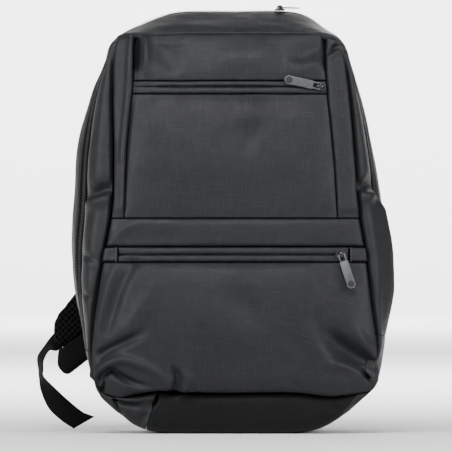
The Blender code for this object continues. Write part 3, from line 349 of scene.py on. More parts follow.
class BackpackColours(bpy.types.PropertyGroup):
    """Colours that a user would change."""
    cloth: FloatVectorProperty(name="Coated cloth", description="Lit colour of the coated cloth",
                               subtype="COLOR", size=3, default=(0.0118, 0.0124, 0.0138))
    cloth_shade: FloatVectorProperty(name="Cloth shade", description="Darker colour of the cloth's mottling",
                                     subtype="COLOR", size=3, default=(0.0072, 0.0076, 0.0084))
    lining: FloatVectorProperty(name="Tape", description="Zip tape and seam binding",
                                subtype="COLOR", size=3, default=(0.0045, 0.0045, 0.0048))
    webbing: FloatVectorProperty(name="Webbing", description="Webbing and strap end cloth",
                                 subtype="COLOR", size=3, default=(0.0030, 0.0030, 0.0032))
    mesh: FloatVectorProperty(name="Spacer mesh", description="Knitted spacer mesh of the straps",
                              subtype="COLOR", size=3, default=(0.0028, 0.0028, 0.0030))
    metal: FloatVectorProperty(name="Gunmetal", description="Sliders and pullers",
                               subtype="COLOR", size=3, default=(0.064, 0.066, 0.071))
    floor: FloatVectorProperty(name="Floor", description="Floor and backdrop",
                               subtype="COLOR", size=3, default=(0.90, 0.90, 0.90))


def sizes():
    return bpy.context.scene.backpack_sizes


def colours():
    return bpy.context.scene.backpack_colours


# Body form

def smooth(low, high, value):
    share = np.clip((np.asarray(value, float) - low) / (high - low), 0.0, 1.0)
    return share * share * (3.0 - 2.0 * share)


def look(table, key):
    """Smooth values of a two-column table, with no overshoot."""
    keys = np.array([row[0] for row in table])
    values = np.array([row[1] for row in table])
    gaps = np.diff(keys)
    slopes = np.diff(values) / gaps
    turns = np.zeros(len(keys))
    turns[0] = slopes[0]
    turns[-1] = slopes[-1]
    same = slopes[:-1] * slopes[1:] > 0.0
    total = slopes[:-1] + slopes[1:]
    mean = 2.0 * slopes[:-1] * slopes[1:] / np.where(total == 0.0, 1.0, total)
    turns[1:-1] = np.where(same, mean, 0.0)
    place = np.clip(np.searchsorted(keys, key) - 1, 0, len(keys) - 2)
    gap = gaps[place]
    t = np.clip((key - keys[place]) / gap, 0.0, 1.0)
    a = (1.0 + 2.0 * t) * (1.0 - t) ** 2
    b = t * (1.0 - t) ** 2
    c = t * t * (3.0 - 2.0 * t)
    d = t * t * (t - 1.0)
    return (a * values[place] + b * gap * turns[place] + c * values[place + 1]
            + d * gap * turns[place + 1])


def curve(rows, where, closed=False):
    """Catmull-Rom points of a table of rows at fractional row numbers."""
    rows = np.asarray(rows, float)
    count = len(rows)
    where = np.asarray(where, float)
    first = np.floor(where).astype(int)
    if not closed:
        first = np.clip(first, 0, count - 2)
    part = (where - first)[..., None]
    a, b, c, d = (rows[(first + step) % count] if closed else rows[np.clip(first + step, 0, count - 1)]
                  for step in (-1, 0, 1, 2))
    return 0.5 * (2.0 * b + (c - a) * part + (2.0 * a - 5.0 * b + 4.0 * c - d) * part ** 2
                  + (3.0 * b - a - 3.0 * c + d) * part ** 3)


def form(where, ring):
    """Points of the body form at stations around the bag and rings from front to back."""
    where, ring = np.broadcast_arrays(np.asarray(where, float), np.asarray(ring, float))
    row = curve(STATIONS, where, True)
    turn = curve(STATIONS, where + 0.05, True) - curve(STATIONS, where - 0.05, True)
    along_x = (turn[..., 2] + turn[..., 0]) * HALF_WIDTH
    along_z = (turn[..., 3] + turn[..., 1]) * HEIGHT
    size = np.hypot(along_x, along_z)
    fx = row[..., 0] * HALF_WIDTH
    fz = row[..., 1] * HEIGHT
    ox = row[..., 2] * HALF_WIDTH
    oz = np.maximum(0.0, row[..., 3]) * HEIGHT
    height = oz / HEIGHT
    base = 1.0 - smooth(0.05, 0.17, height)
    top = smooth(0.86, 0.955, height)
    side = 1.0 - base - top
    part = curve(SECTION, ring)
    out = part[..., 0] * side + part[..., 2] * top + part[..., 4] * base
    deep = part[..., 1] * side + part[..., 3] * top + part[..., 5] * base
    inset = BACK_INSET * np.clip(ring - (LAST_RING - 1.0), 0.0, 1.0)
    x = fx + (ox - fx) * out - along_z / size * inset
    z = fz + (oz - fz) * out + along_x / size * inset
    near = front_y(fz)
    y = near + (back_y(oz) - near) * deep
    return np.stack((x, y, z), -1)


def front_y(z):
    return -0.5 * DEPTH + DEPTH * look(LEAN, z / HEIGHT)


def back_y(z):
    return 0.5 * DEPTH - DEPTH * look(BACK_LEAN, z / HEIGHT)


def seam_table(first, last, ring, level):
    points = form(np.linspace(first, last, 500), ring)
    key, value = (points[:, 0], points[:, 2]) if level else (points[:, 2], points[:, 0])
    order = np.argsort(key)
    return key[order], value[order]


SEAMS = {
    "left": seam_table(18.0, 29.01, 0.02, False), "right": seam_table(2.4, 14.2, 0.02, False),
    "top": seam_table(13.4, 18.6, 0.02, True), "bottom": seam_table(27.9, 36.2, 0.02, True),
    "back_left": seam_table(18.0, 29.4, 8.98, False), "back_right": seam_table(2.6, 14.0, 8.98, False),
    "back_top": seam_table(13.5, 18.5, 8.98, True), "back_bottom": seam_table(29.0, 35.0, 8.98, True),
}


def seam(name, at):
    return np.interp(at, *SEAMS[name])


def edge_of(name, gap):
    return lambda at: seam(name, at) + gap


def line(table, gap):
    return lambda z: look(table, z / HEIGHT) * HALF_WIDTH + gap


def level(share, gap):
    return lambda x: np.full_like(x, share * HEIGHT + gap)


def upright(share, gap):
    return lambda z: np.full_like(z, share * HALF_WIDTH + gap)


def between(low, high):
    """Level lines just inside two level seams."""
    return level(low, LEVEL_GAP), level(high, -LEVEL_GAP)


STRIP_SIDES = (line(LEFT_LINE, LINE_GAP), line(RIGHT_LINE, -LINE_GAP))
FRONT_SIDES = (edge_of("left", EDGE_GAP), edge_of("right", -EDGE_GAP))
TAB_SIDES = (upright(LEFT_TAB_LINE, LINE_GAP), upright(RIGHT_TAB_LINE, -LINE_GAP))
# Pocket zips: name, slit, low and high ends of the lips, side lines, width, open part of the slit
POCKET_ZIPS = (
    ("upper", UPPER_SLIT, UPPER_LIP_LOW, UPPER_LIP_HIGH, STRIP_SIDES, 0.196, (0.17, 0.70)),
    ("lower", LOWER_SLIT, LOWER_LIP_LOW, LOWER_LIP_HIGH, TAB_SIDES, 0.234, (-0.2, 1.2)),
)


def fold_lift(x, z):
    """Height of the folds at front places."""
    total = np.zeros_like(x)
    for width, height, start, end, run in FOLDS:
        count = (len(run) - 1) * 4 + 1
        points = curve(np.array(run) / 1000.0, np.linspace(0.0, len(run) - 1.0, count))
        best = np.full_like(x, 1.0)
        along = np.zeros_like(x)
        for number in range(count - 1):
            a = points[number]
            b = points[number + 1] - a
            share = np.clip(((x - a[0]) * b[0] + (z - a[1]) * b[1]) / (b[0] ** 2 + b[1] ** 2), 0.0, 1.0)
            gap = np.hypot(x - a[0] - b[0] * share, z - a[1] - b[1] * share)
            nearer = gap < best
            best = np.where(nearer, gap, best)
            along = np.where(nearer, (number + share) / (count - 1), along)
        strength = (start + (1.0 - start) * smooth(0.0, 0.4, along))
        strength = strength * (end + (1.0 - end) * smooth(0.0, 0.4, 1.0 - along))
        total += 0.001 * FOLD_GAIN * height * strength * np.exp(-(best / (0.001 * width)) ** 2)
    return total


def crinkle(x, z, seed):
    """Small uneven dents of the cloth, from -1 to 1."""
    source = np.random.default_rng(seed)
    total = np.zeros_like(x)
    for wave, size in ((0.062, 1.0), (0.034, 0.55), (0.017, 0.22)):
        for number in range(5):
            angle = source.uniform(0.0, math.pi)
            phase = source.uniform(0.0, 2.0 * math.pi, 3)
            across = x * math.cos(angle) + z * math.sin(angle)
            beside = x * math.sin(angle) - z * math.cos(angle)
            bend = 0.9 * np.sin(2.0 * math.pi * beside / (1.7 * wave) + phase[0])
            total += size / 5.0 * np.sin(2.0 * math.pi * across / wave + phase[1] + bend)
    return total


# Mesh making

def spread(length, step, near=(0.0, 0.00025, 0.0006, 0.0011, 0.0018, 0.0028, 0.0042)):
    """Shares of a length, closer together towards both ends."""
    close = [gap / length for gap in near if gap < 0.3 * length]
    count = max(2, int(math.ceil((1.0 - 2.0 * close[-1]) * length / step)))
    middle = np.linspace(close[-1], 1.0 - close[-1], count + 1)
    ends = np.array(close[:-1])
    return np.concatenate((ends, middle, 1.0 - ends[::-1]))


def grid_normals(points):
    """Unit normals of a grid of points."""
    normal = np.cross(np.gradient(points, axis=0), np.gradient(points, axis=1))
    return normal / np.maximum(1e-12, np.linalg.norm(normal, axis=-1, keepdims=True))


def away_from(points, centre):
    """Unit normals of a grid of points, on the side that faces away from a centre."""
    normal = grid_normals(points)
    if np.sum(normal * (points - np.asarray(centre))) < 0.0:
        normal = -normal
    return normal


def arc(points, axis):
    """Distance along a grid from its first row."""
    steps = np.linalg.norm(np.diff(points, axis=axis), axis=-1)
    start = np.zeros_like(np.take(steps, [0], axis=axis))
    return np.concatenate((start, np.cumsum(steps, axis=axis)), axis=axis)


def link(mesh, name, *skins):
    """Smooth object of a mesh with its materials, in the scene."""
    mesh.shade_smooth()
    for material in skins:
        mesh.materials.append(material)
    made = bpy.data.objects.new(name, mesh)
    bpy.context.scene.collection.objects.link(made)
    return made


def from_bmesh(bm, name, *skins):
    """Object of a finished bmesh, which is freed."""
    mesh = bpy.data.meshes.new(name)
    bm.to_mesh(mesh)
    bm.free()
    return link(mesh, name, *skins)


def grid_object(name, points, across, along, rim, away, material):
    """Object of a grid mesh with its map in metres and its rim attribute."""
    rows, columns = points.shape[:2]
    bm = bmesh.new()
    bmesh.ops.create_grid(bm, x_segments=rows - 1, y_segments=columns - 1, size=0.5)
    mesh = bpy.data.meshes.new(name)
    bm.to_mesh(mesh)
    bm.free()
    if len(mesh.vertices) != rows * columns:
        raise RuntimeError(name + ": the grid has the wrong number of points")
    places = np.empty(len(mesh.vertices) * 3)
    mesh.vertices.foreach_get("co", places)
    places = places.reshape(-1, 3)
    i = np.rint((places[:, 0] + 0.5) * (rows - 1)).astype(int)
    j = np.rint((places[:, 1] + 0.5) * (columns - 1)).astype(int)
    mesh.vertices.foreach_set("co", points[i, j].ravel())
    mesh.update()
    corners = np.empty(len(mesh.loops), dtype=np.int32)
    mesh.loops.foreach_get("vertex_index", corners)
    layer = mesh.uv_layers.new(name="cloth")
    layer.uv.foreach_set("vector", np.stack((across[i, j][corners], along[i, j][corners]), -1).ravel())
    mark = mesh.attributes.new("rim", "FLOAT", "POINT")
    mark.data.foreach_set("value", rim[i, j])
    normals = np.empty(len(mesh.vertices) * 3)
    mesh.vertices.foreach_get("normal", normals)
    if np.sum(normals.reshape(-1, 3) * away[i, j]) < 0.0:
        mesh.flip_normals()
    return link(mesh, name, material)


def cloth_piece(name, points, rise, rolls, material, wall=None, centre=BODY_CENTRE, skirt=None):
    """Sheet of cloth on a grid of points, raised by a height, its four edges rolled into the seams."""
    away = away_from(points, centre)
    across = arc(points, 0)
    along = arc(points, 1)
    gaps = (across, across[-1:] - across, along, along[:, -1:] - along)
    rise = rise.copy()
    rim = np.zeros_like(rise)
    for gap, (radius, depth) in zip(gaps, rolls):
        if radius:
            part = 1.0 - np.clip(gap / radius, 0.0, 1.0)
            rise -= depth * (1.0 - np.sqrt(1.0 - part * part))
            rim = np.maximum(rim, np.exp(-(gap / 0.0045) ** 2))
    points = points + away * rise[..., None]
    skirt = sizes().skirt if skirt is None else skirt
    if skirt:
        points = np.pad(points, ((1, 1), (1, 1), (0, 0)), mode="edge")
        away = np.pad(away, ((1, 1), (1, 1), (0, 0)), mode="edge")
        across = np.pad(across, 1, mode="edge")
        along = np.pad(along, 1, mode="edge")
        rim = np.pad(rim, 1, mode="edge")
        border = np.ones(across.shape, bool)
        border[1:-1, 1:-1] = False
        points[border] -= away[border] * skirt
        across[0] -= skirt
        across[-1] += skirt
        along[:, 0] -= skirt
        along[:, -1] += skirt
    made = grid_object(name, points, across, along, rim, away, material)
    thick = made.modifiers.new("Cloth wall", "SOLIDIFY")
    thick.thickness = sizes().wall if wall is None else wall
    thick.offset = -1.0
    return made


def settle(piece, slot, *nodes, body="bag"):
    """The piece rides on a body and stands for its solids, which it hides; the finish slot is not used."""
    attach(piece, body)
    if nodes:
        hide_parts(*nodes)
    return piece


def face_share(x, z, face=""):
    """Fullness of the front or the back face, from 0 at its seams to 1."""
    left = seam(face + "left", z)
    right = seam(face + "right", z)
    low = seam(face + "bottom", x)
    high = seam(face + "top", x)
    return look(PUFF_ACROSS, (x - left) / (right - left)) * look(PUFF_EVEN, (z - low) / (high - low))


def front_base(x, z):
    """Depth of the front face without the puff of its panels."""
    return front_y(z) - face_share(x, z) * FRONT_DOME


def front_grid(left, right, low, high, us, vs):
    """Grid of points of a front panel between two side lines and two level lines."""
    u, v = np.meshgrid(us, vs, indexing="ij")
    middle = np.zeros_like(u)
    z = low(middle) + (high(middle) - low(middle)) * v
    x = left(z) + (right(z) - left(z)) * u
    for turn in range(8):
        z = low(x) + (high(x) - low(x)) * v
        x = left(z) + (right(z) - left(z)) * u
    return u, v, np.stack((x, front_base(x, z), z), -1)


def front_panel(name, node, sides, levels, lift, rolls, size, seed, step=None, rough=1.0, skirt=None):
    """Sewn panel of the front, raised by lift at the shares across and up."""
    step = step or sizes().step
    u, v, points = front_grid(*sides, *levels, spread(size[0], step), spread(size[1], step))
    x = points[..., 0]
    z = points[..., 2]
    rise = lift(u, v) + fold_lift(x, z) + rough * sizes().crinkle * crinkle(x, z, seed)
    return settle(cloth_piece(name, points, rise, rolls, coated_cloth(), skirt=skirt), "coated_cloth", node)


# Materials

class Nodes:
    """Short ways to add nodes to a shader tree."""

    def __init__(self, tree):
        self.tree = tree

    def fill(self, node, inputs):
        """Set a node's inputs to values or link them to sockets."""
        for key, value in inputs.items():
            if isinstance(value, bpy.types.NodeSocket):
                self.tree.links.new(value, node.inputs[key])
            else:
                node.inputs[key].default_value = value

    def add(self, kind, inputs=None, **settings):
        node = self.tree.nodes.new("ShaderNode" + kind)
        for key, value in settings.items():
            setattr(node, key, value)
        self.fill(node, inputs or {})
        return node

    def maths(self, operation, a, b=0.0, clamp=False):
        return self.add("Math", {0: a, 1: b}, operation=operation, use_clamp=clamp).outputs[0]

    def times(self, a, b):
        return self.maths("MULTIPLY", a, b)

    def plus(self, a, b):
        return self.maths("ADD", a, b)

    def wave(self, place, turn):
        return self.maths("SINE", self.times(place, turn))

    def vector(self, operation, inputs, out="Vector"):
        return self.add("VectorMath", inputs, operation=operation).outputs[out]

    def remap(self, value, low, high, start=0.0, end=1.0):
        inputs = {"Value": value, "From Min": low, "From Max": high, "To Min": start, "To Max": end}
        return self.add("MapRange", inputs).outputs["Result"]

    def mix(self, share, a, b):
        return self.add("Mix", {"Factor": share, "A": a, "B": b}, data_type="RGBA").outputs["Result"]

    def noise(self, vector, scale, detail=2.0, rough=0.5):
        inputs = {"Vector": vector, "Scale": scale, "Detail": detail, "Roughness": rough}
        return self.add("TexNoise", inputs).outputs[0]

    def bump(self, height, strength, distance, normal=None):
        inputs = {"Strength": strength, "Distance": distance, "Height": height}
        if normal is not None:
            inputs["Normal"] = normal
        return self.add("Bump", inputs).outputs[0]

    def effect(self, name, vector, values):
        """Outputs of a shared effect placed with its own values."""
        return self.add("Group", {"Vector": vector, **values}, node_tree=effect_tree(name)).outputs


def thread_weave(nodes, given):
    """Crossed threads with uneven thickness."""
    slubs = [nodes.noise(nodes.vector("MULTIPLY", {0: given["Vector"], 1: stretch}),
                         given["Slub Scale"], 3.0, 0.6)
             for stretch in ((1.0, 0.06, 1.0), (0.06, 1.0, 1.0))]
    lines = [nodes.remap(slub, 0.56, 0.72) for slub in slubs]
    parts = nodes.add("SeparateXYZ", {0: given["Vector"]}).outputs
    turn = nodes.maths("DIVIDE", 2.0 * math.pi, given["Pitch"])
    cross = nodes.times(nodes.wave(parts[0], turn), nodes.wave(parts[1], turn))
    slub = nodes.times(nodes.plus(*slubs), 0.5)
    height = nodes.plus(nodes.times(nodes.remap(cross, -1.0, 1.0), 0.35), nodes.times(slub, 0.65))
    return {"Height": height, "Slubs": slub, "Streaks": nodes.maths("MAXIMUM", *lines)}


def cloth_mottle(nodes, given):
    """Soft cloudy patches, broad and fine."""
    broad = nodes.noise(given["Vector"], given["Scale"], 3.0, 0.55)
    fine = nodes.noise(given["Vector"], nodes.times(given["Scale"], 9.0))
    return {"Mask": nodes.remap(nodes.plus(nodes.times(broad, 0.7), nodes.times(fine, 0.3)), 0.32, 0.68)}


def edge_wear(nodes, given):
    """Rubbed cloth along rolled edges, broken up by noise."""
    patches = nodes.noise(given["Vector"], 140.0, 3.0, 0.6)
    share = nodes.times(given["Rim"], nodes.remap(patches, 0.35, 0.70, 0.1, 1.0))
    return {"Mask": nodes.maths("MULTIPLY", share, given["Amount"], True)}


def mesh_holes(nodes, given):
    """Staggered oval holes of a spacer knit."""
    flat = nodes.vector("SCALE", {0: given["Vector"], "Scale": given["Count"]})
    gaps = []
    for shift in (0.0, 0.5):
        part = nodes.vector("FRACTION", {0: nodes.vector("ADD", {0: flat, 1: (shift,) * 3})})
        centred = nodes.vector("SUBTRACT", {0: part, 1: (0.5,) * 3})
        oval = nodes.vector("MULTIPLY", {0: centred, 1: (1.15, 0.0, 0.85)})
        gaps.append(nodes.vector("LENGTH", {0: oval}, "Value"))
    near = nodes.maths("MINIMUM", *gaps)
    return {"Holes": nodes.remap(near, 0.20, 0.27, 1.0, 0.0), "Height": nodes.remap(near, 0.16, 0.36)}


# Shared effects: what fills them, their number inputs with defaults, and their outputs
EFFECTS = {
    "thread_weave": (thread_weave, {"Pitch": 0.0008, "Slub Scale": 900.0}, ("Height", "Slubs", "Streaks")),
    "cloth_mottle": (cloth_mottle, {"Scale": 14.0}, ("Mask",)),
    "edge_wear": (edge_wear, {"Rim": 0.0, "Amount": 1.0}, ("Mask",)),
    "mesh_holes": (mesh_holes, {"Count": 150.0}, ("Holes", "Height")),
}


def effect_tree(name):
    """Node group of a shared effect, built once."""
    if name in bpy.data.node_groups:
        return bpy.data.node_groups[name]
    fill, values, outputs = EFFECTS[name]
    tree = bpy.data.node_groups.new(name, "ShaderNodeTree")
    tree.interface.new_socket("Vector", in_out="INPUT", socket_type="NodeSocketVector")
    for label, value in values.items():
        socket = tree.interface.new_socket(label, in_out="INPUT", socket_type="NodeSocketFloat")
        socket.default_value = value
    for label in outputs:
        tree.interface.new_socket(label, in_out="OUTPUT", socket_type="NodeSocketFloat")
    source = tree.nodes.new("NodeGroupInput")
    target = tree.nodes.new("NodeGroupOutput")
    for label, socket in fill(Nodes(tree), source.outputs).items():
        tree.links.new(socket, target.inputs[label])
    return tree


def skin(build):
    """Make a function's material the first time that its name is asked for."""
    def get(name, *values):
        if name not in bpy.data.materials:
            made = bpy.data.materials.new(name)
            made.use_nodes = True
            nodes = Nodes(made.node_tree)
            places = nodes.add("TexCoord").outputs["Object"]
            nodes.fill(nodes.tree.nodes["Principled BSDF"], build(nodes, places, *values))
        return bpy.data.materials[name]
    return get


def rgba(colour, by=1.0):
    return (colour[0] * by, colour[1] * by, colour[2] * by, 1.0)


@skin
def cloth_skin(nodes, places, shade):
    """Coated woven cloth, semi-matt, with fine threads, mottling and rubbed edges."""
    surface = nodes.add("UVMap", uv_map="cloth").outputs[0]
    rim = nodes.add("Attribute", attribute_name="rim").outputs["Fac"]
    weave = nodes.effect("thread_weave", surface, {"Pitch": 0.0009, "Slub Scale": 800.0})
    mottle = nodes.effect("cloth_mottle", places, {"Scale": 13.0})["Mask"]
    wear = nodes.effect("edge_wear", places, {"Rim": rim, "Amount": 0.8})["Mask"]
    slubs = nodes.remap(weave["Slubs"], 0.35, 0.65)
    # shade scales every colour of the cloth; below 1 it paints shade onto a copy of the cloth, as on the
    # base
    colour = nodes.mix(mottle, rgba(colours().cloth_shade, shade), rgba(colours().cloth, shade))
    for mask, share, bright in ((slubs, 0.35, 1.35), (weave["Streaks"], 0.45, 2.2), (wear, 0.45, 2.4)):
        colour = nodes.mix(nodes.times(mask, share), colour, rgba(colours().cloth, bright * shade))
    rough = nodes.plus(nodes.remap(mottle, 0.0, 1.0, 0.60, 0.51), nodes.remap(slubs, 0.0, 1.0, 0.04, -0.03))
    height = nodes.plus(weave["Height"], nodes.times(nodes.noise(places, 2600.0), 0.25))
    fine = nodes.bump(height, 0.45, 0.00012)
    return {"Base Color": colour, "Roughness": nodes.maths("SUBTRACT", rough, nodes.times(wear, 0.06)),
            "Normal": nodes.bump(nodes.noise(places, 75.0, 3.0, 0.55), 0.35, 0.0010, fine),
            "Specular IOR Level": 0.30 * min(1.0, shade + 0.15), "IOR": 1.40}


@skin
def woven_tape(nodes, places, colour, rib, cord):
    """Ribbed narrow fabric such as webbing and zip tape; the ribs run across."""
    surface = nodes.add("UVMap", uv_map="cloth").outputs[0]
    parts = nodes.add("SeparateXYZ", {0: surface}).outputs
    cross = nodes.times(nodes.wave(parts[1], 2.0 * math.pi / rib),
                        nodes.wave(parts[0], 2.0 * math.pi / cord))
    weave = nodes.effect("thread_weave", surface, {"Pitch": rib, "Slub Scale": 1100.0})
    height = nodes.plus(nodes.times(nodes.remap(cross, -1.0, 1.0), 0.7), nodes.times(weave["Height"], 0.3))
    mottle = nodes.effect("cloth_mottle", places, {"Scale": 40.0})["Mask"]
    # Colour follows the rib height: painted shade in the grooves and a painted highlight on the crowns of
    # the ribs
    shade = nodes.mix(height, rgba(colour, 0.55), rgba(colour, 1.5))
    return {"Base Color": nodes.mix(nodes.times(mottle, 0.3), shade, rgba(colour, 1.9)),
            "Roughness": nodes.remap(height, 0.0, 1.0, 0.85, 0.62),
            "Normal": nodes.bump(height, 0.7, 0.0003), "Specular IOR Level": MATT_SHINE}


@skin
def spacer_mesh(nodes, places):
    """Black spacer knit with staggered oval holes over dark foam, the holes painted near black for the foam
    and the shade inside them.
    """
    holes = nodes.effect("mesh_holes", places, {"Count": 152.0})
    knit = nodes.noise(places, 1500.0, 2.0, 0.6)
    ridge = nodes.mix(knit, rgba(colours().mesh), rgba(colours().mesh, 3.0))
    height = nodes.plus(holes["Height"], nodes.times(knit, 0.2))
    # Holes painted near black: the dark foam below, and painted shade inside the holes
    return {"Base Color": nodes.mix(holes["Holes"], ridge, rgba(FOAM_AND_HOLE_SHADE_COLOUR)),
            "Roughness": nodes.remap(holes["Holes"], 0.0, 1.0, 0.62, 0.95),
            "Normal": nodes.bump(height, 1.0, 0.0016), "Specular IOR Level": MATT_SHINE}


@skin
def end_cloth(nodes, places):
    """Plain dense cloth of the strap ends."""
    weave = nodes.effect("thread_weave", places, {"Pitch": 0.0007, "Slub Scale": 1200.0})
    mottle = nodes.effect("cloth_mottle", places, {"Scale": 45.0})["Mask"]
    shade = nodes.mix(mottle, rgba(colours().webbing, 0.7), rgba(colours().webbing, 1.3))
    return {"Base Color": nodes.mix(nodes.times(weave["Slubs"], 0.3), shade, rgba(colours().webbing, 1.9)),
            "Roughness": nodes.remap(weave["Height"], 0.2, 0.8, 0.72, 0.55),
            "Normal": nodes.bump(weave["Height"], 0.5, 0.0002), "Specular IOR Level": MATT_SHINE}


@skin
def hard_finish(nodes, places, colour, metallic, rough, vary, grain):
    """Moulded plastic or coated metal with fine grain, smudges and lighter edges."""
    edge = nodes.remap(nodes.add("NewGeometry").outputs["Pointiness"], 0.52, 0.62)
    mottle = nodes.effect("cloth_mottle", places, {"Scale": 160.0})["Mask"]
    wear = nodes.effect("edge_wear", places, {"Rim": edge, "Amount": 0.9})["Mask"]
    shade = nodes.mix(mottle, rgba(colour, 0.85), rgba(colour, 1.12))
    return {"Base Color": nodes.mix(wear, shade, rgba(colour, 2.0)), "Metallic": metallic,
            "Roughness": nodes.remap(mottle, 0.0, 1.0, rough - vary, rough + vary),
            "Normal": nodes.bump(nodes.noise(places, grain, 2.0, 0.6), 0.35, 0.00008)}


@skin
def puller_inlay(nodes, places):
    """Round inlay of the pullers with a plain raised cross hatch."""
    parts = nodes.add("SeparateXYZ", {0: places}).outputs
    level_sum = nodes.plus(parts[0], parts[1])
    waves = [nodes.wave(nodes.plus(level_sum, nodes.times(parts[2], sign)), 2.0 * math.pi / HATCH_PITCH)
             for sign in (1.0, -1.0)]
    hatch = nodes.remap(nodes.maths("MAXIMUM", *waves), -0.4, 1.0)
    return {"Base Color": nodes.mix(hatch, rgba(colours().metal, 0.06), rgba(colours().metal, 0.55)),
            "Metallic": 0.5, "Roughness": nodes.remap(hatch, 0.0, 1.0, 0.7, 0.45),
            "Normal": nodes.bump(hatch, 0.8, 0.00025)}


@skin
def studio_floor(nodes, places):
    """Even pale floor."""
    shade = nodes.mix(nodes.noise(places, 3.0), rgba(colours().floor, 0.985), rgba(colours().floor))
    return {"Base Color": shade, "Roughness": 0.9}


def coated_cloth():
    return cloth_skin("coated_cloth_skin", 1.0)


def zip_tape():
    return woven_tape("zip_tape_skin", colours().lining, 0.0008, 0.0012)


def webbing():
    return woven_tape("webbing_skin", colours().webbing, 0.0016, 0.0021)


def hard(name):
    return hard_finish(name, *HARD_FINISHES[name])


# Operators

class StageOperator(bpy.types.Operator):
    """Make the floor, the backdrop, the lights and the camera"""
    bl_idname = "backpack.stage"
    bl_label = "Stage"

    def execute(self, context):
        bm = bmesh.new()
        bmesh.ops.create_grid(bm, x_segments=2, y_segments=90, size=1.0)
        for vert in bm.verts:
            way = (vert.co.y + 1.0) * 0.5 * (FLOOR_FLAT + BACKDROP_WAY)
            turn = min(max(0.0, way - FLOOR_FLAT) / FLOOR_BEND, 0.5 * math.pi)
            straight = max(0.0, way - FLOOR_FLAT - 0.5 * math.pi * FLOOR_BEND)
            vert.co = Vector((vert.co.x * FLOOR_HALF,
                              min(way, FLOOR_FLAT) + FLOOR_START + FLOOR_BEND * math.sin(turn),
                              FLOOR_BEND * (1.0 - math.cos(turn)) + straight))
        floor = from_bmesh(bm, "studio_floor", studio_floor("studio_floor"))

        world = bpy.data.worlds.new("studio_air")
        context.scene.world = world
        world.use_nodes = True
        air = world.node_tree.nodes["Background"].inputs
        air["Color"].default_value = (1.0, 1.0, 1.0, 1.0)
        air["Strength"].default_value = AIR_STRENGTH
        for name, place, aim, size, power in LIGHTS:
            light = bpy.data.lights.new(name, "AREA")
            light.shape = "RECTANGLE"
            light.size, light.size_y = size
            light.energy = power
            lamp = bpy.data.objects.new(name, light)
            lamp.location = place
            lamp.rotation_euler = (Vector(aim) - Vector(place)).to_track_quat("-Z", "Y").to_euler()
            context.scene.collection.objects.link(lamp)

        view = bpy.data.cameras.new("photo_view")
        view.sensor_width = SENSOR
        view.lens = SENSOR * (sizes().view_distance - VIEW_FRONT) / VIEW_WIDTH
        view.clip_end = 50.0
        camera = bpy.data.objects.new("photo_view", view)
        camera.location = (VIEW_X, -sizes().view_distance, VIEW_HEIGHT)
        camera.rotation_euler = (math.radians(90.0), 0.0, 0.0)
        context.scene.collection.objects.link(camera)
        context.scene.camera = camera
        return {"FINISHED"}


def puff(height, up=PUFF_EVEN):
    """Lift of a filled panel, highest in the middle."""
    return lambda u, v: height * look(PUFF_ACROSS, u) * look(up, v)


def strip_lift(height, profile):
    """Lift of an upright strip, low at the band and at the top seam."""
    return lambda u, v: height * look(profile, u) * smooth(0.0, 0.06, v) * smooth(1.0, 0.97, v)


def pinched(u, v):
    """Lift of the upper panel, pinched in beside both strips."""
    high = smooth(0.10, 0.40, v) * smooth(1.02, 0.88, v)
    left_pinch = 0.0075 * np.exp(-(u / 0.025) ** 2) * high
    right_pinch = 0.0040 * np.exp(-((1.0 - u) / 0.020) ** 2) * high
    return puff(0.0030)(u, v) - left_pinch - right_pinch


class FrontPanelsOperator(bpy.types.Operator):
    """Make the upper panel, both upright strips, the upper pocket and the band"""
    bl_idname = "backpack.front_panels"
    bl_label = "Front panels"

    def execute(self, context):
        left, right = FRONT_SIDES
        top = edge_of("top", -EDGE_GAP)
        band_to_top = (level(BAND_HIGH, LEVEL_GAP), top)
        top_roll = (0.0022, 0.0020)
        for name, node, sides, levels, lift, rolls, size, seed in (
                ("front_upper_cloth", "front_upper_panel", STRIP_SIDES,
                 (level(UPPER_LIP_HIGH, LEVEL_GAP), top), pinched,
                 ((0.0020, 0.0020), (0.0020, 0.0026), FINE_ROLL, (0.0034, 0.0026)), (0.197, 0.048), 11),
                ("left_strip_cloth", "left_front_strip", (left, line(LEFT_LINE, -LINE_GAP)),
                 band_to_top, strip_lift(0.0052, LEFT_STRIP_PROFILE),
                 (DEEP_ROLL, (0.0017, 0.0044), FINE_ROLL, top_roll), (0.020, 0.185), 12),
                ("right_strip_cloth", "right_front_strip", (line(RIGHT_LINE, LINE_GAP), right),
                 band_to_top, strip_lift(0.0042, RIGHT_STRIP_PROFILE),
                 ((0.0022, 0.0040), DEEP_ROLL, FINE_ROLL, top_roll), (0.022, 0.185), 13),
                ("upper_pocket_cloth", "upper_pocket_panel", STRIP_SIDES,
                 between(BAND_HIGH, UPPER_LIP_LOW), puff(0.0088, PUFF_SOFT),
                 (FINE_ROLL,) * 4, (0.203, 0.126), 14),
                ("mid_band_cloth", "mid_band", FRONT_SIDES, between(LOWER_LIP_HIGH, BAND_HIGH), puff(0.0036),
                 (DEEP_ROLL, DEEP_ROLL, SEAM_ROLL, FINE_ROLL), (0.252, 0.029), 15)):
            front_panel(name, node, sides, levels, lift, rolls, size, seed)
        return {"FINISHED"}


def pocket_swell(u, v):
    """Lift of the lower pocket, flatter behind its puller."""
    full = smooth(0.86, 0.76, u)
    rise = look(PUFF_POCKET, v) * (1.0 - full) + look(PUFF_FULL, v) * full
    return 0.0120 * look(PUFF_ACROSS, u) * rise


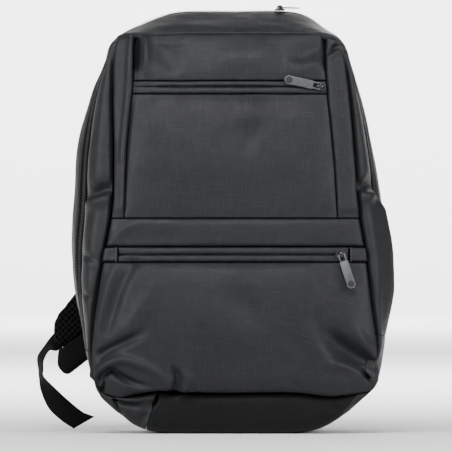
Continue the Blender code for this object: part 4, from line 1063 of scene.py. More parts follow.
class LowerPocketOperator(bpy.types.Operator):
    """Make the large lower pocket with its folds"""
    bl_idname = "backpack.lower_pocket"
    bl_label = "Lower pocket"

    def execute(self, context):
        levels = (edge_of("bottom", LEVEL_GAP), level(LOWER_LIP_LOW, -LEVEL_GAP))
        rolls = (DEEP_ROLL, (0.0040, 0.0080), (0.0062, 0.0105), (0.0016, 0.0020))
        front_panel("lower_pocket_cloth", "lower_pocket_panel", FRONT_SIDES, levels, pocket_swell, rolls,
                    (0.275, 0.134), 16, step=0.0012, rough=0.8, skirt=0.006)
        return {"FINISHED"}


def open_share(part, share):
    """How far a slit shows at shares along it."""
    return smooth(part[0] - 0.08, part[0] + 0.06, share) * smooth(part[1] + 0.08, part[1] - 0.06, share)


def slit_line(zip_row, sign):
    """Level line of a slit's upper (1) or lower (-1) lip, parted where the slit is open."""
    slit, width, part = zip_row[1], zip_row[5], zip_row[6]
    return lambda x: slit * HEIGHT + sign * (0.00005 + 0.00043 * open_share(part, (x + 0.5 * width) / width))


class PocketZipsOperator(bpy.types.Operator):
    """Make the zip lips, tapes, coils and end tabs of both pockets"""
    bl_idname = "backpack.pocket_zips"
    bl_label = "Pocket zips"

    def execute(self, context):
        for row in POCKET_ZIPS:
            place, slit, lip_low, lip_high, (left, right), width, part = row
            shown = open_share(part, spread(width, 0.0010))
            slit_roll = (0.0013, 0.0017 * (0.12 + 0.88 * shown[:, None]))
            ends = ((0.0010, 0.0012),) * 2
            for name, node, levels, rolls in (
                    ("_zip_top_lip_cloth", "_zip_top_lip",
                     (slit_line(row, 1.0), level(lip_high, -LEVEL_GAP)), (slit_roll, LIP_ROLL)),
                    ("_zip_low_lip_cloth", "_zip_bottom_lip",
                     (level(lip_low, LEVEL_GAP), slit_line(row, -1.0)), (LIP_ROLL, slit_roll))):
                front_panel(place + name, place + node, (left, right), levels, puff(0.0024, PUFF_LIP),
                            ends + rolls, (width, 0.0064), 31, step=0.0010, rough=0.15, skirt=0.0012)
            inner_left = lambda z, left=left: left(z) + 0.004
            inner_right = lambda z, right=right: right(z) - 0.004
            u, v, points = front_grid(inner_left, inner_right, level(lip_low, 0.001),
                                      level(lip_high, -0.001), np.linspace(0.0, 1.0, 60),
                                      np.linspace(0.0, 1.0, 9))
            points[..., 1] += 0.0030
            tape = cloth_piece(place + "_zip_tape", points, np.zeros_like(u), ((0, 0),) * 4, zip_tape(),
                               wall=TAPE_WALL, skirt=0.0)
            settle(tape, "zip_tape", place + "_zip_chain")
            along = np.linspace(inner_left(slit * HEIGHT) + 0.002, inner_right(slit * HEIGHT) - 0.002, 400)
            high = np.full_like(along, slit * HEIGHT)
            path = np.stack((along, front_base(along, high) + 0.0020, high), -1)
            ups = np.tile((0.0, -1.0, 0.0), (len(along), 1))
            settle(tooth_row(place + "_zip_coil", path, ups, (0.0020, 0.0011)), "zip_tape")
        outer = (0.0034, 0.0055)
        for name, sides, rolls in (
                ("lower_zip_left_tab", (FRONT_SIDES[0], upright(LEFT_TAB_LINE, -LINE_GAP)),
                 (outer, LIP_ROLL)),
                ("lower_zip_right_tab", (upright(RIGHT_TAB_LINE, LINE_GAP), FRONT_SIDES[1]),
                 (LIP_ROLL, outer))):
            front_panel(name + "_cloth", name, sides, between(LOWER_LIP_LOW, LOWER_LIP_HIGH),
                        lambda u, v: 0.0030 * smooth(0.0, 0.1, v) * smooth(1.0, 0.9, v),
                        rolls + ((0.0016, 0.0024),) * 2, (0.015, 0.0150), 33, step=0.0008,
                        rough=0.1, skirt=0.0012)
        return {"FINISHED"}


def place_along(path, pitch):
    """Points and directions at even steps along a path."""
    steps = np.linalg.norm(np.diff(path, axis=0), axis=1)
    way = np.concatenate(((0.0,), np.cumsum(steps)))
    count = max(2, int(way[-1] / pitch))
    at = np.linspace(0.0, way[-1], count + 1)
    points = np.stack([np.interp(at, way, path[:, k]) for k in range(3)], -1)
    ahead = np.gradient(points, axis=0)
    ahead /= np.linalg.norm(ahead, axis=1, keepdims=True)
    return points, ahead, at / way[-1]


def block_row(name, path, ups, pitch, size, sway, material):
    """Row of small rounded blocks along a path, such as coils or stitches."""
    points, ahead, share = place_along(path, pitch)
    number = np.linspace(0.0, 1.0, len(path))
    lifts = np.stack([np.interp(share, number, ups[:, k]) for k in range(3)], -1)
    bm = bmesh.new()
    for index, (point, along, up) in enumerate(zip(points, ahead, lifts)):
        along = Vector(along)
        up = Vector(up)
        up = (up - along * up.dot(along)).normalized()
        side = up.cross(along)
        basis = Matrix((along, side, up)).transposed().to_4x4()
        basis.translation = Vector(point) + side * (sway if index % 2 else -sway)
        bmesh.ops.create_cube(bm, size=1.0, matrix=basis @ Matrix.Diagonal((*size, 1.0)))
    bmesh.ops.bevel(bm, geom=bm.edges[:], offset=0.28 * min(size), affect="EDGES", segments=1,
                    profile=0.5, material=-1)
    return from_bmesh(bm, name, material)


def tooth_row(name, path, ups, size):
    pitch = sizes().tooth_pitch
    return block_row(name, path, ups, pitch, (0.62 * pitch, *size), 0.18 * size[0], hard("zip_coil_finish"))


def gusset_grid(first, last, ring_first, ring_last, step):
    """Grid of body points between two stations and two rings."""
    stations = np.linspace(first, last, 200)
    rings = np.linspace(ring_first, ring_last, 60)
    ways = []
    for points in (form(stations, 0.5 * (ring_first + ring_last)), form(0.5 * (first + last), rings)):
        way = arc(points[:, None], 0)[:, 0]
        ways.append((float(way[-1]), way))
    (length, rail), (width, cross) = ways
    us = np.interp(spread(length, step), rail / length, stations)
    vs = np.interp(spread(width, step), cross / width, rings)
    where, ring = np.meshgrid(us, vs, indexing="ij")
    return where, ring, form(where, ring)


def pinch_lift(points, ring, side):
    """Crease of a side gusset with the folded ridge below it."""
    total = np.zeros(points.shape[:2])
    share = np.clip(ring / ZIP_FRONT_RING, 0.0, 1.0)
    strength = np.exp(-((ring - 1.1) / 1.25) ** 2) * smooth(0.0, 0.25, ring)
    for name, height, half, depth, rise, ridge in SIDE_PINCHES:
        if name == side:
            middle = 0.001 * (height + rise * (share - 0.5) * 2.0)
            gap = (points[..., 2] - middle) / (0.001 * half)
            crease = -np.exp(-np.where(gap > 0.0, gap / 1.0, gap / 0.45) ** 2)
            swell = 0.55 * ridge * np.exp(-((gap + 1.25) / 0.75) ** 2)
            total += 0.001 * depth * strength * (crease + swell)
    return total


def gusset_piece(name, node, stations, rings, rolls, seed, side="", lift=None, step=0.0018, rough=1.0,
                 folds=False, material=None, slot="coated_cloth", wall=None, skirt=None):
    """Cloth between two stations around the bag and two rings from front to back."""
    where, ring, points = gusset_grid(*stations, *rings, step)
    rise = rough * sizes().crinkle * crinkle(where * 0.045, ring * 0.016, seed)
    if side:
        rise = rise + pinch_lift(points, ring, side)
    if folds:
        rise = rise + fold_lift(points[..., 0], points[..., 2]) * smooth(3.2, 1.6, ring)
    if lift is not None:
        rise = rise + lift(where, ring)
    piece = cloth_piece(name, points, rise, rolls, material or coated_cloth(), wall=wall, skirt=skirt)
    return settle(piece, slot, node)


def sag(where, ring):
    """Swell of the right side below its pinch, which hides the zip from the front."""
    height = form(where, 2.0)[..., 2]
    full = smooth(0.248, 0.225, height) * smooth(0.080, 0.150, height)
    return 0.0105 * full * np.exp(-((ring - 2.8) / 0.85) ** 2)


def bulge(where, ring):
    """Slight roundness of a side gusset, which ends above the corner."""
    height = form(where, 2.0)[..., 2]
    return 0.0016 * smooth(0.108, 0.160, height) * np.exp(-((ring - 0.9) / 0.8) ** 2)


class GussetsOperator(bpy.types.Operator):
    """Make the gussets in front of and behind the main zip"""
    bl_idname = "backpack.gussets"
    bl_label = "Gussets"

    def execute(self, context):
        front = (0.0044, 0.0080)
        behind = (0.0020, 0.0022)
        rings = (RING_GAP, ZIP_FRONT_RING - 0.04)
        for name, stations, roll, seed, more in (
                ("right_gusset", (LOW_RIGHT + CUT, TOP_RIGHT - CUT), front, 21,
                 {"side": "right", "lift": lambda where, ring: bulge(where, ring) + sag(where, ring)}),
                ("top_gusset", (TOP_RIGHT + CUT, TOP_LEFT - CUT), (0.0010, 0.0024), 22, {}),
                ("left_gusset", (TOP_LEFT + CUT, LOW_LEFT - CUT), front, 23,
                 {"side": "left", "lift": bulge})):
            gusset_piece(name + "_cloth", name, stations, rings, (BUTT_ROLL, BUTT_ROLL, roll, behind), seed,
                         **more)
        gusset_piece("rear_gusset_cloth", "rear_gusset", (LOW_RIGHT + CUT, LOW_LEFT - CUT),
                     (ZIP_REAR_RING + RING_GAP, LAST_RING - RING_GAP),
                     (BUTT_ROLL, BUTT_ROLL, behind, REAR_ROLL), 24, step=0.0028)
        return {"FINISHED"}


class BaseOperator(bpy.types.Operator):
    """Make the base and both lower corners"""
    bl_idname = "backpack.base"
    bl_label = "Base"

    def execute(self, context):
        seamed = (0.0010, 0.0007)
        # The base cloth is the coated cloth with painted shade, darker where the base turns under
        dark = cloth_skin("base_cloth_skin", BASE_PAINTED_SHADE)
        for name, node, stations, ends, front, seed, more in (
                ("base_cloth", "base_panel", (BASE_LEFT + CUT, BASE_RIGHT - CUT), (seamed, BUTT_ROLL),
                 (0.0085, 0.0048), 25, {"step": 0.0024, "rough": 0.7, "material": dark}),
                ("left_corner_cloth", "left_corner_panel", (LOW_LEFT + CUT, BASE_LEFT - CUT),
                 (BUTT_ROLL, seamed), (0.0030, 0.0040), 26, {"step": 0.0016}),
                ("right_corner_cloth", "right_corner_panel",
                 (BASE_RIGHT - len(STATIONS) + CUT, LOW_RIGHT - CUT), (BUTT_ROLL, BUTT_ROLL),
                 (0.0044, 0.0070), 27, {"step": 0.0016, "lift": sag})):
            gusset_piece(name, node, stations, (RING_GAP, LAST_RING - RING_GAP), ends + (front, REAR_ROLL),
                         seed, folds=True, **more)
        return {"FINISHED"}


class MainZipOperator(bpy.types.Operator):
    """Make the long zip over the ridge and down both sides"""
    bl_idname = "backpack.main_zip"
    bl_label = "Main zip"

    def execute(self, context):
        gusset_piece("main_zip_tape", "main_zip_chain", (LOW_RIGHT - 0.12, LOW_LEFT + 0.12),
                     (ZIP_FRONT_RING - 0.18, ZIP_REAR_RING + 0.12), ((0, 0),) * 4, 28, rough=0.0,
                     step=0.0028,
                     lift=lambda where, ring: np.full_like(ring, -0.0011), material=zip_tape(),
                     slot="zip_tape", wall=TAPE_WALL, skirt=0.0)
        where = np.linspace(LOW_RIGHT + 0.06, LOW_LEFT - 0.06, 900)
        path = form(where, 4.5)
        ups = np.cross(form(where, 4.6) - path, np.gradient(path, axis=0))
        ups /= np.linalg.norm(ups, axis=1, keepdims=True)
        if np.sum(ups * (path - np.array(BODY_CENTRE))) < 0.0:
            ups = -ups
        settle(tooth_row("main_zip_coil", path + ups * 0.0004, ups, (0.0034, 0.0012)), "zip_tape")
        return {"FINISHED"}


def back_base(x, z):
    return back_y(z) + BACK_PUFF * face_share(x, z, "back_")


class BackPanelOperator(bpy.types.Operator):
    """Make the plain padded back panel"""
    bl_idname = "backpack.back_panel"
    bl_label = "Back panel"

    def execute(self, context):
        u, v = np.meshgrid(spread(0.25, 0.0030), spread(0.36, 0.0030), indexing="ij")
        x = np.zeros_like(u)
        gap = 0.0008
        for turn in range(8):
            low = seam("back_bottom", x) + gap
            high = seam("back_top", x) - gap
            z = low + (high - low) * v
            left = seam("back_left", z) + gap
            right = seam("back_right", z) - gap
            x = left + (right - left) * u
        points = np.stack((x, back_base(x, z), z), -1)
        rise = 0.6 * sizes().crinkle * crinkle(x, z, 29)
        panel = cloth_piece("back_panel_cloth", points, rise, ((0.0030, 0.0030),) * 4, coated_cloth(),
                            centre=(0.0, -0.2, 0.2))
        settle(panel, "coated_cloth", "back_panel")
        return {"FINISHED"}


def strap_rows(run, side, share):
    """Edge rows of a strap on the left (-1) or right (1) side."""
    rows = []
    for ax, az, bx, bz, bow in run:
        y = 0.5 * DEPTH + 0.5 * PAD_THICK + bow * STRAP_BOW
        if bow == 0.0:
            x = -side * 0.5 * (ax + bx) * HALF_WIDTH * share
            y = float(back_base(np.array(x), np.array(0.5 * (az + bz) * HEIGHT))) + SEAM + 0.5 * PAD_THICK
        a = (-side * ax * HALF_WIDTH * share, y, az * HEIGHT)
        b = (-side * bx * HALF_WIDTH * share, y, bz * HEIGHT)
        rows.append(a + b if side < 0 else b + a)
    return np.array(rows)


def even_rows(rows, fine, step_of):
    """Edge rows of a strap at chosen ways along its middle, with those ways and its length."""
    edges = curve(rows, np.linspace(0.0, len(rows) - 1.0, fine))
    way = arc(0.5 * (edges[:, :3] + edges[:, 3:])[:, None], 0)[:, 0]
    at = step_of(way[-1])
    return np.stack([np.interp(at, way, edges[:, k]) for k in range(6)], -1), at, way[-1]


def pad_object(name, rows, thick, material, step, end_round, taper):
    """Foam pad with a crowned section and rounded ends, closed all round."""
    close_steps = (0.0, 0.0004, 0.0010, 0.0018, 0.0030, 0.0048)
    edges, at, length = even_rows(rows, 200, lambda long: spread(long, step, close_steps) * long)
    centre = 0.5 * (edges[:, :3] + edges[:, 3:])
    side = edges[:, 3:] - edges[:, :3]
    normal = np.cross(side, np.gradient(centre, axis=0))
    normal /= np.linalg.norm(normal, axis=1, keepdims=True)
    angle = np.linspace(0.0, 2.0 * math.pi, PAD_SIDES, endpoint=False)
    flat = np.sign(np.cos(angle)) * np.abs(np.cos(angle)) ** 0.42
    high = np.sign(np.sin(angle)) * np.abs(np.sin(angle)) ** 0.62
    close = np.ones(len(at))
    for gap, radius in ((at, end_round[0]), (length - at, end_round[1])):
        close *= np.sqrt(np.clip(1.0 - (1.0 - np.clip(gap / radius, 0.0, 1.0)) ** 2, 0.0, 1.0))
    tall = 0.30 + 0.70 * close
    wide = 1.0 - taper * (1.0 - close)
    bm = bmesh.new()
    rings = []
    for index in range(len(at)):
        ring = bmesh.ops.create_circle(bm, cap_ends=False, segments=PAD_SIDES, radius=1.0)["verts"]
        for number, vert in enumerate(ring):
            vert.co = Vector(centre[index] - side[index] * 0.5 * flat[number] * wide[index]
                             + normal[index] * 0.5 * thick * high[number] * tall[index])
        rings.append(ring)
    for pair in zip(rings, rings[1:]):
        both = {edge for ring in pair for vert in ring for edge in vert.link_edges}
        loops = [edge for edge in both
                 if any(edge.verts[0] in ring and edge.verts[1] in ring for ring in pair)]
        bmesh.ops.bridge_loops(bm, edges=loops)
    bmesh.ops.holes_fill(bm, edges=[edge for edge in bm.edges if edge.is_boundary], sides=0)
    bmesh.ops.recalc_face_normals(bm, faces=bm.faces[:])
    return from_bmesh(bm, name, material)


def coordinates(mesh):
    places = np.empty(len(mesh.vertices) * 3)
    mesh.vertices.foreach_get("co", places)
    return places.reshape(-1, 3)


def inflate(piece):
    """Swell a foam pad by a short cloth simulation, with a cap on how far a point moves."""
    scene = bpy.context.scene
    remesh = piece.modifiers.new("Even mesh", "REMESH")
    remesh.mode = "VOXEL"
    remesh.voxel_size = FOAM_VOXEL
    even = bpy.data.meshes.new_from_object(piece.evaluated_get(bpy.context.evaluated_depsgraph_get()))
    piece.modifiers.remove(remesh)
    before = coordinates(even)
    foam = piece.data.materials[0]
    piece.data = even
    cloth = piece.modifiers.new("Foam cloth", "CLOTH")
    for key, value in FOAM_CLOTH.items():
        setattr(cloth.settings, key, value)
    cloth.settings.effector_weights.gravity = 0.0
    cloth.point_cache.frame_start = 1
    cloth.point_cache.frame_end = FOAM_FRAMES
    for number in range(1, FOAM_FRAMES + 1):
        scene.frame_set(number)
    swollen = piece.evaluated_get(bpy.context.evaluated_depsgraph_get())
    move = coordinates(swollen.to_mesh()) - before
    swollen.to_mesh_clear()
    piece.modifiers.remove(cloth)
    scene.frame_set(1)
    size = np.linalg.norm(move, axis=1, keepdims=True)
    move *= np.minimum(1.0, FOAM_MOST / np.maximum(1e-9, size))
    even.vertices.foreach_set("co", (before + move).ravel())
    even.update()
    bm = bmesh.new()
    bm.from_mesh(even)
    for number in range(6):
        bmesh.ops.smooth_vert(bm, verts=bm.verts[:], factor=0.5, use_axis_x=True, use_axis_y=True,
                              use_axis_z=True)
    bm.to_mesh(even)
    bm.free()
    even.shade_smooth()
    if not even.materials:
        even.materials.append(foam)
    finer = piece.modifiers.new("Finer", "SUBSURF")
    finer.levels = 1
    finer.render_levels = 1


class StrapPadsOperator(bpy.types.Operator):
    """Make both padded straps and their cloth ends"""
    bl_idname = "backpack.strap_pads"
    bl_label = "Strap pads"

    def execute(self, context):
        for side, sign, share in (("left", -1.0, LEFT_STRAP_OUT), ("right", 1.0, RIGHT_STRAP_IN)):
            pad = pad_object(side + "_strap_foam", strap_rows(PAD_RUN, sign, share), PAD_THICK,
                             spacer_mesh("spacer_mesh_skin"), 0.0035, (0.0050, 0.0012), 0.05)
            inflate(pad)
            settle(pad, "spacer_mesh", side + "_strap_pad")
            rows = strap_rows(END_RUN, sign, share)
            rows[0] += 0.32 * (rows[0] - rows[1])
            rows[2] += 0.25 * (rows[2] - rows[1])
            end = pad_object(side + "_strap_end_cloth", rows, PAD_THICK * END_THIN + END_PROUD,
                             end_cloth("end_cloth_skin"), 0.0018, (0.0008, 0.0070), 0.33)
            settle(end, "end_cloth", side + "_strap_end")
        return {"FINISHED"}


def root_row(x, z):
    """Webbing row on the back panel, clear of the cloth all across."""
    across = Vector(WEB_ROOT_SIDE).normalized() * (0.5 * WEB_WIDTH)
    y = max(float(back_base(np.array(x + across.x * share), np.array(z + across.z * share)))
            for share in (-1.0, -0.5, 0.0, 0.5, 1.0))
    return (x, y + 3.0 * SEAM + 0.5 * WEB_THICK, z) + WEB_ROOT_SIDE


def bowed(rows, out, behind):
    """Webbing rows in metres from shares of the width, the bow and the height."""
    return [(x * out, behind + bow * STRAP_BOW, z * HEIGHT, *side) for x, bow, z, *side in rows]


def buckle_spots(side):
    """Middle of a buckle, its turn and the webbing rows of that side."""
    step = Vector((-math.sin(BUCKLE_TURN), 0.0, math.cos(BUCKLE_TURN)))
    band_y = 0.5 * DEPTH + (0.5 + 0.5 * END_THIN) * PAD_THICK + END_RUN[0][4] * STRAP_BOW
    middle = Vector((BUCKLE_PLACE[0] * HALF_WIDTH, band_y + BUCKLE_GAP + 0.5 * BUCKLE_THICK,
                     BUCKLE_PLACE[1] * HEIGHT))
    lift = 0.5 * (BUCKLE_THICK + WEB_THICK) + WEB_SLACK
    threads = []
    for place, deep in THREAD:
        spot = middle + step * place * BUCKLE_LENGTH
        threads.append((spot.x, spot.y + deep * lift, spot.z,
                        math.cos(BUCKLE_TURN), 0.0, math.sin(BUCKLE_TURN)))
    start = [root_row(x * HALF_WIDTH, z * HEIGHT) for x, z in WEB_ROOT]
    start += bowed(WEB_RUN, HALF_WIDTH, 0.5 * DEPTH)
    if side == "left":
        tail = bowed(TAIL_RUN, HALF_WIDTH * LEFT_STRAP_OUT, 0.5 * DEPTH + PAD_THICK)
        return middle, BUCKLE_TURN, start + threads + tail
    other = Vector((-middle.x * RIGHT_STRAP_IN, middle.y, middle.z))
    shift = other.x + middle.x
    turned = [(-x, y, z, -dx, dy, dz) for x, y, z, dx, dy, dz in start]
    turned[-1] = (turned[-1][0] + shift * 0.6,) + turned[-1][1:]
    turned += [(shift - x, y, z, -dx, dy, dz) for x, y, z, dx, dy, dz in threads]
    return other, -BUCKLE_TURN, turned + bowed(RIGHT_TAIL, HALF_WIDTH, 0.5 * DEPTH + PAD_THICK)


def ribbon(name, rows, width, thick, step, material):
    """Flat woven ribbon along rows of middle and cross direction; returns it and its length."""
    table = []
    for x, y, z, dx, dy, dz in rows:
        across = Vector((dx, dy, dz)).normalized() * (0.5 * width)
        middle = Vector((x, y, z))
        table.append(tuple(middle + across) + tuple(middle - across))
    edges, at, length = even_rows(np.array(table), 40 * len(rows),
                                  lambda long: np.linspace(0.0, long, int(long / step) + 1))
    vs = np.array((0.0, 0.02, 0.06, 0.18, 0.34, 0.5, 0.66, 0.82, 0.94, 0.98, 1.0))
    points = edges[:, None, :3] * (1.0 - vs[None, :, None]) + edges[:, None, 3:] * vs[None, :, None]
    along = np.tile(at[:, None], (1, len(vs)))
    across = np.tile(vs[None, :] * width, (len(at), 1))
    rim = np.tile(np.exp(-(np.minimum(vs, 1.0 - vs) / 0.06) ** 2)[None, :], (len(at), 1))
    made = grid_object(name, points, across, along, rim, grid_normals(points), material)
    wall = made.modifiers.new("Webbing wall", "SOLIDIFY")
    wall.thickness = thick
    wall.offset = 0.0
    soften(made, "Soft edge", 0.25 * thick, 50.0)
    return made, float(length)


def soften(piece, label, width, degrees):
    """Round the sharp edges of a piece."""
    soft = piece.modifiers.new(label, "BEVEL")
    soft.width = width
    soft.segments = 2
    soft.limit_method = "ANGLE"
    soft.angle_limit = math.radians(degrees)


def local_frame(origin, along, normal):
    """Frame with x along, z along the normal and y across."""
    z_axis = Vector(normal).normalized()
    y_axis = z_axis.cross(Vector(along)).normalized()
    x_axis = y_axis.cross(z_axis).normalized()
    basis = Matrix((x_axis, y_axis, z_axis)).transposed().to_4x4()
    basis.translation = Vector(origin)
    return basis


def placed(bm, name, place, *skins):
    """Finished object of a bmesh, put in its place."""
    bmesh.ops.transform(bm, matrix=place, verts=bm.verts[:])
    bmesh.ops.recalc_face_normals(bm, faces=bm.faces[:])
    return from_bmesh(bm, name, *skins)


def raise_faces(bm, faces, height):
    """Extrude faces upwards by a height."""
    raised = bmesh.ops.extrude_face_region(bm, geom=faces)
    top = [item for item in raised["geom"] if isinstance(item, bmesh.types.BMVert)]
    bmesh.ops.translate(bm, verts=top, vec=(0.0, 0.0, height))


class BucklesOperator(bpy.types.Operator):
    """Make the ladder buckles and the loops that hold them"""
    bl_idname = "backpack.buckles"
    bl_label = "Buckles"

    def execute(self, context):
        bars = [share * BUCKLE_LENGTH for share in BUCKLE_BARS]
        half = 0.5 * WEB_WIDTH + WEB_SLACK + BUCKLE_SIDE
        across = (-half, -half + BUCKLE_SIDE, half - BUCKLE_SIDE, half)
        lift = 0.5 * BUCKLE_THICK + 0.5 * LOOP_THICK + 0.0001
        root = BUCKLE_GAP + 0.5 * BUCKLE_THICK - SEAM - 0.5 * LOOP_THICK
        for side in ("left", "right"):
            middle, turn, rows = buckle_spots(side)
            place = local_frame(middle, Vector((-math.sin(turn), 0.0, math.cos(turn))),
                                Vector((0.0, 1.0, 0.0)))
            bm = bmesh.new()
            bmesh.ops.create_grid(bm, x_segments=7, y_segments=3, size=0.5)
            for vert in bm.verts:
                vert.co = Vector((bars[int(round((vert.co.x + 0.5) * 7))],
                                  across[int(round((vert.co.y + 0.5) * 3))], -0.5 * BUCKLE_THICK))
            holes = []
            for face in bm.faces:
                spot = face.calc_center_median()
                if abs(spot.y) < 0.2 * half and sum(1 for edge in bars if edge < spot.x) % 2 == 0:
                    holes.append(face)
            bmesh.ops.delete(bm, geom=holes, context="FACES")
            raise_faces(bm, bm.faces[:], BUCKLE_THICK)
            bmesh.ops.recalc_face_normals(bm, faces=bm.faces[:])
            sharp = [edge for edge in bm.edges
                     if len(edge.link_faces) == 2 and edge.calc_face_angle(0.0) > 0.6]
            bmesh.ops.bevel(bm, geom=sharp, offset=0.0007, affect="EDGES", segments=3, profile=0.5,
                            material=-1)
            buckle = placed(bm, side + "_ladder_buckle", place, hard("black_plastic_finish"))
            settle(buckle, "black_plastic", side + "_buckle")
            middle_bar = 0.5 * (bars[0] + bars[1])
            turn_side = place.to_3x3() @ Vector((0.0, 1.0, 0.0))
            rows = []
            for way, deep in [(at, -root / lift) for at in LOOP_ROOT] + list(LOOP):
                spot = place @ Vector((middle_bar + way * BUCKLE_LENGTH, 0.0, deep * lift))
                rows.append(tuple(spot) + tuple(turn_side))
            loop = ribbon(side + "_loop_tape", rows, LOOP_WIDTH, LOOP_THICK, 0.0010, webbing())[0]
            settle(loop, "webbing", side + "_buckle_loop")
        return {"FINISHED"}


class WebbingOperator(bpy.types.Operator):
    """Make the webbing of both straps with its loose ends"""
    bl_idname = "backpack.webbing"
    bl_label = "Webbing"

    def execute(self, context):
        for side in ("left", "right"):
            rows = buckle_spots(side)[2]
            made, length = ribbon(side + "_webbing_strap", rows, WEB_WIDTH, WEB_THICK, 0.0016, webbing())
            settle(made, "webbing", side + "_webbing")
            last = np.array(rows[-1])
            before = np.array(rows[-2])
            back = HEM_LENGTH / np.linalg.norm(last[:3] - before[:3])
            hem_rows = [tuple(last * (1.0 - share) + before * share) for share in (back, 0.5 * back, 0.0)]
            hem = ribbon(side + "_webbing_hem", hem_rows, WEB_WIDTH - 0.0006, WEB_THICK + 0.0022, 0.0016,
                         webbing())[0]
            settle(hem, "webbing")
        return {"FINISHED"}


def slider_frame(name, degrees):
    """Frame of a slider from its solid's box: x towards the puller, z outwards."""
    low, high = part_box(name + "_slider")
    middle = [0.5 * (a + b) for a, b in zip(low, high)]
    if name == "top_zip":
        return local_frame(Vector((middle[0], middle[1], low[2])), Vector(TOP_PULL_WAY),
                           Vector((0.0, 0.0, 1.0)))
    angle = math.radians(degrees)
    return local_frame(Vector((middle[0], high[1], middle[2])),
                       Vector((math.cos(angle), 0.0, math.sin(angle))), Vector((0.0, -1.0, 0.0)))


def outline_plate(bm, outline, low, high):
    """Plate extruded from an outline between two heights."""
    face = bm.faces.new([bm.verts.new((x, y, low)) for x, y in outline])
    raise_faces(bm, [face], high - low)


def slider_outline(turn):
    """Rounded outline of a slider's body with its waist, turned on the zip."""
    outline = []
    for degrees in range(0, 360, 15):
        angle = math.radians(degrees)
        c = math.copysign(abs(math.cos(angle)) ** 0.62, math.cos(angle))
        s = math.copysign(abs(math.sin(angle)) ** 0.62, math.sin(angle))
        waist = 1.0 - 0.10 * math.exp(-((c + 0.1) / 0.35) ** 2)
        across = SLIDER_HALF * c
        up = 0.70 * SLIDER_HALF * s * waist
        outline.append((across * math.cos(turn) + up * math.sin(turn),
                        up * math.cos(turn) - across * math.sin(turn)))
    return outline


def add_bridge(bm):
    """Arched strap over a slider, which holds the puller."""
    ring = []
    for degrees in range(0, 181, 15):
        angle = math.radians(degrees)
        rise = BRIDGE_GAP + 0.5 * BRIDGE_WALL + BRIDGE_SINK
        ring.append((0.52 * SLIDER_HALF * math.cos(angle),
                     SLIDER_BASE - BRIDGE_SINK + rise * math.sin(angle) ** 0.55))
    strip = []
    for index, (x, z) in enumerate(ring):
        before = ring[max(0, index - 1)]
        after = ring[min(len(ring) - 1, index + 1)]
        normal = Vector((after[1] - before[1], 0.0, before[0] - after[0])).normalized()
        normal = normal * (-0.5 * BRIDGE_WALL)
        half = 0.0014 * (1.15 - 0.25 * math.sin(math.radians(index * 15)))
        strip.append([bm.verts.new(Vector((x, y, z)) + normal * side)
                      for y, side in ((-half, -1), (half, -1), (half, 1), (-half, 1))])
    for first, second in zip(strip, strip[1:]):
        for k in range(4):
            bm.faces.new((first[k], first[(k + 1) % 4], second[(k + 1) % 4], second[k]))
    bm.faces.new(strip[0])
    bm.faces.new(strip[-1])


class SlidersOperator(bpy.types.Operator):
    """Make the three zip sliders"""
    bl_idname = "backpack.sliders"
    bl_label = "Sliders"

    def execute(self, context):
        for name, body, degrees, turn, swing in ZIP_PULLS:
            bm = bmesh.new()
            outline_plate(bm, slider_outline(math.radians(turn)), 0.0, SLIDER_BASE)
            rim = [edge for edge in bm.edges if all(abs(v.co.z - SLIDER_BASE) < 1e-6 for v in edge.verts)]
            bmesh.ops.bevel(bm, geom=rim, offset=0.0005, affect="EDGES", segments=3, profile=0.5,
                            material=-1)
            add_bridge(bm)
            made = placed(bm, name + "_slider_body", slider_frame(name, degrees), hard("slider_finish"))
            soften(made, "Soft edges", 0.00025, 40.0)
            settle(made, "gunmetal", name + "_slider")
        return {"FINISHED"}


class PullersOperator(bpy.types.Operator):
    """Make the three pullers with their round inlay"""
    bl_idname = "backpack.pullers"
    bl_label = "Pullers"

    def execute(self, context):
        half = 0.5 * PULLER_WIDTH
        bar = 0.5 * PULLER_THICK
        corner = PULLER_LENGTH - PULLER_TIP
        outline = ((0.0085, -half), (corner, -half), (PULLER_LENGTH, -0.40 * half),
                   (PULLER_LENGTH, 0.40 * half), (corner, half), (0.0085, half),
                   (0.0072, 0.86 * half), (0.0072, -0.86 * half))
        metal = hard_finish("gunmetal_finish", colours().metal, 0.55, 0.50, 0.05, 4200.0)
        for name, body, degrees, turn, swing in ZIP_PULLS:
            lift = Matrix.Translation((0.0, 0.0, SLIDER_BASE + 0.5 * BRIDGE_GAP))
            place = slider_frame(name, degrees) @ lift @ Matrix.Rotation(math.radians(swing), 4, "Y")
            bm = bmesh.new()
            outline_plate(bm, outline, -bar, bar)
            for sign in (-1.0, 1.0):
                rail = ((-bar, sign * PULLER_SLOT), (-bar, sign * 0.84 * half),
                        (0.0078, sign * 0.86 * half), (0.0078, sign * PULLER_SLOT))
                outline_plate(bm, rail, -bar, bar)
            bmesh.ops.create_cube(bm, size=1.0, matrix=Matrix.Diagonal((2.0 * bar, 0.0046, 2.0 * bar, 1.0)))
            joined = [edge for edge in bm.edges if len(edge.link_faces) == 2]
            bmesh.ops.recalc_face_normals(bm, faces=bm.faces[:])
            sharp = [edge for edge in joined if edge.calc_face_angle(0.0) > 0.9]
            bmesh.ops.bevel(bm, geom=sharp, offset=0.00022, affect="EDGES", segments=2, profile=0.5,
                            material=-1)
            spot = Matrix.Translation((PULLER_LENGTH - INLAY_IN, 0.0, bar + 0.00004))
            disc = bmesh.ops.create_circle(bm, cap_ends=True, segments=40, radius=INLAY_RADIUS, matrix=spot)
            for face in {face for vert in disc["verts"] for face in vert.link_faces}:
                face.material_index = 1
            made = placed(bm, name + "_puller_plate", place, metal, puller_inlay("puller_inlay"))
            settle(made, "gunmetal", name + "_puller", body=body)
        return {"FINISHED"}


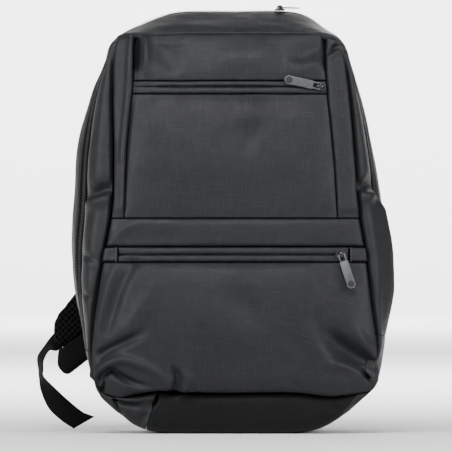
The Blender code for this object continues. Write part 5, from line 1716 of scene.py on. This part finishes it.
class StitchingOperator(bpy.types.Operator):
    """Make the visible rows of stitches"""
    bl_idname = "backpack.stitching"
    bl_label = "Stitching"

    def execute(self, context):
        pitch = sizes().stitch_pitch
        z = np.linspace((LOWER_LIP_LOW + 0.003) * HEIGHT, (LOWER_LIP_HIGH - 0.003) * HEIGHT, 40)
        ups = np.tile((0.0, -1.0, 0.0), (len(z), 1))
        for name, x in (("left_tab_stitches", LEFT_TAB_LINE * HALF_WIDTH - STITCH_IN),
                        ("right_tab_stitches", RIGHT_TAB_LINE * HALF_WIDTH + STITCH_IN)):
            line_x = np.full_like(z, x)
            path = np.stack((line_x, front_base(line_x, z) - 0.0040, z), -1)
            row = block_row(name, path, ups, pitch, (0.62 * pitch, 0.00080, 0.00060), 0.0,
                            hard("stitch_thread"))
            settle(row, "coated_cloth")
        return {"FINISHED"}


class BackpackPanel(bpy.types.Panel):
    """Buttons for each group of pieces"""
    bl_label = "Laptop backpack"
    bl_idname = "VIEW3D_PT_backpack"
    bl_space_type = "VIEW_3D"
    bl_region_type = "UI"
    bl_category = "Backpack"

    def draw(self, context):
        for operator in OPERATORS:
            self.layout.operator(operator.bl_idname)


OPERATORS = (StageOperator, FrontPanelsOperator, LowerPocketOperator, PocketZipsOperator, GussetsOperator,
             BaseOperator, MainZipOperator, BackPanelOperator, StrapPadsOperator, BucklesOperator,
             WebbingOperator, SlidersOperator, PullersOperator, StitchingOperator)


def register():
    for kind in (BackpackSizes, BackpackColours, BackpackPanel) + OPERATORS:
        bpy.utils.register_class(kind)
    bpy.types.Scene.backpack_sizes = PointerProperty(type=BackpackSizes)
    bpy.types.Scene.backpack_colours = PointerProperty(type=BackpackColours)


def unregister():
    del bpy.types.Scene.backpack_sizes
    del bpy.types.Scene.backpack_colours
    for kind in reversed((BackpackSizes, BackpackColours, BackpackPanel) + OPERATORS):
        bpy.utils.unregister_class(kind)


def main():
    register()
    for operator in OPERATORS:
        family, action = operator.bl_idname.split(".")
        getattr(getattr(bpy.ops, family), action)()


if __name__ == "__main__":
    main()
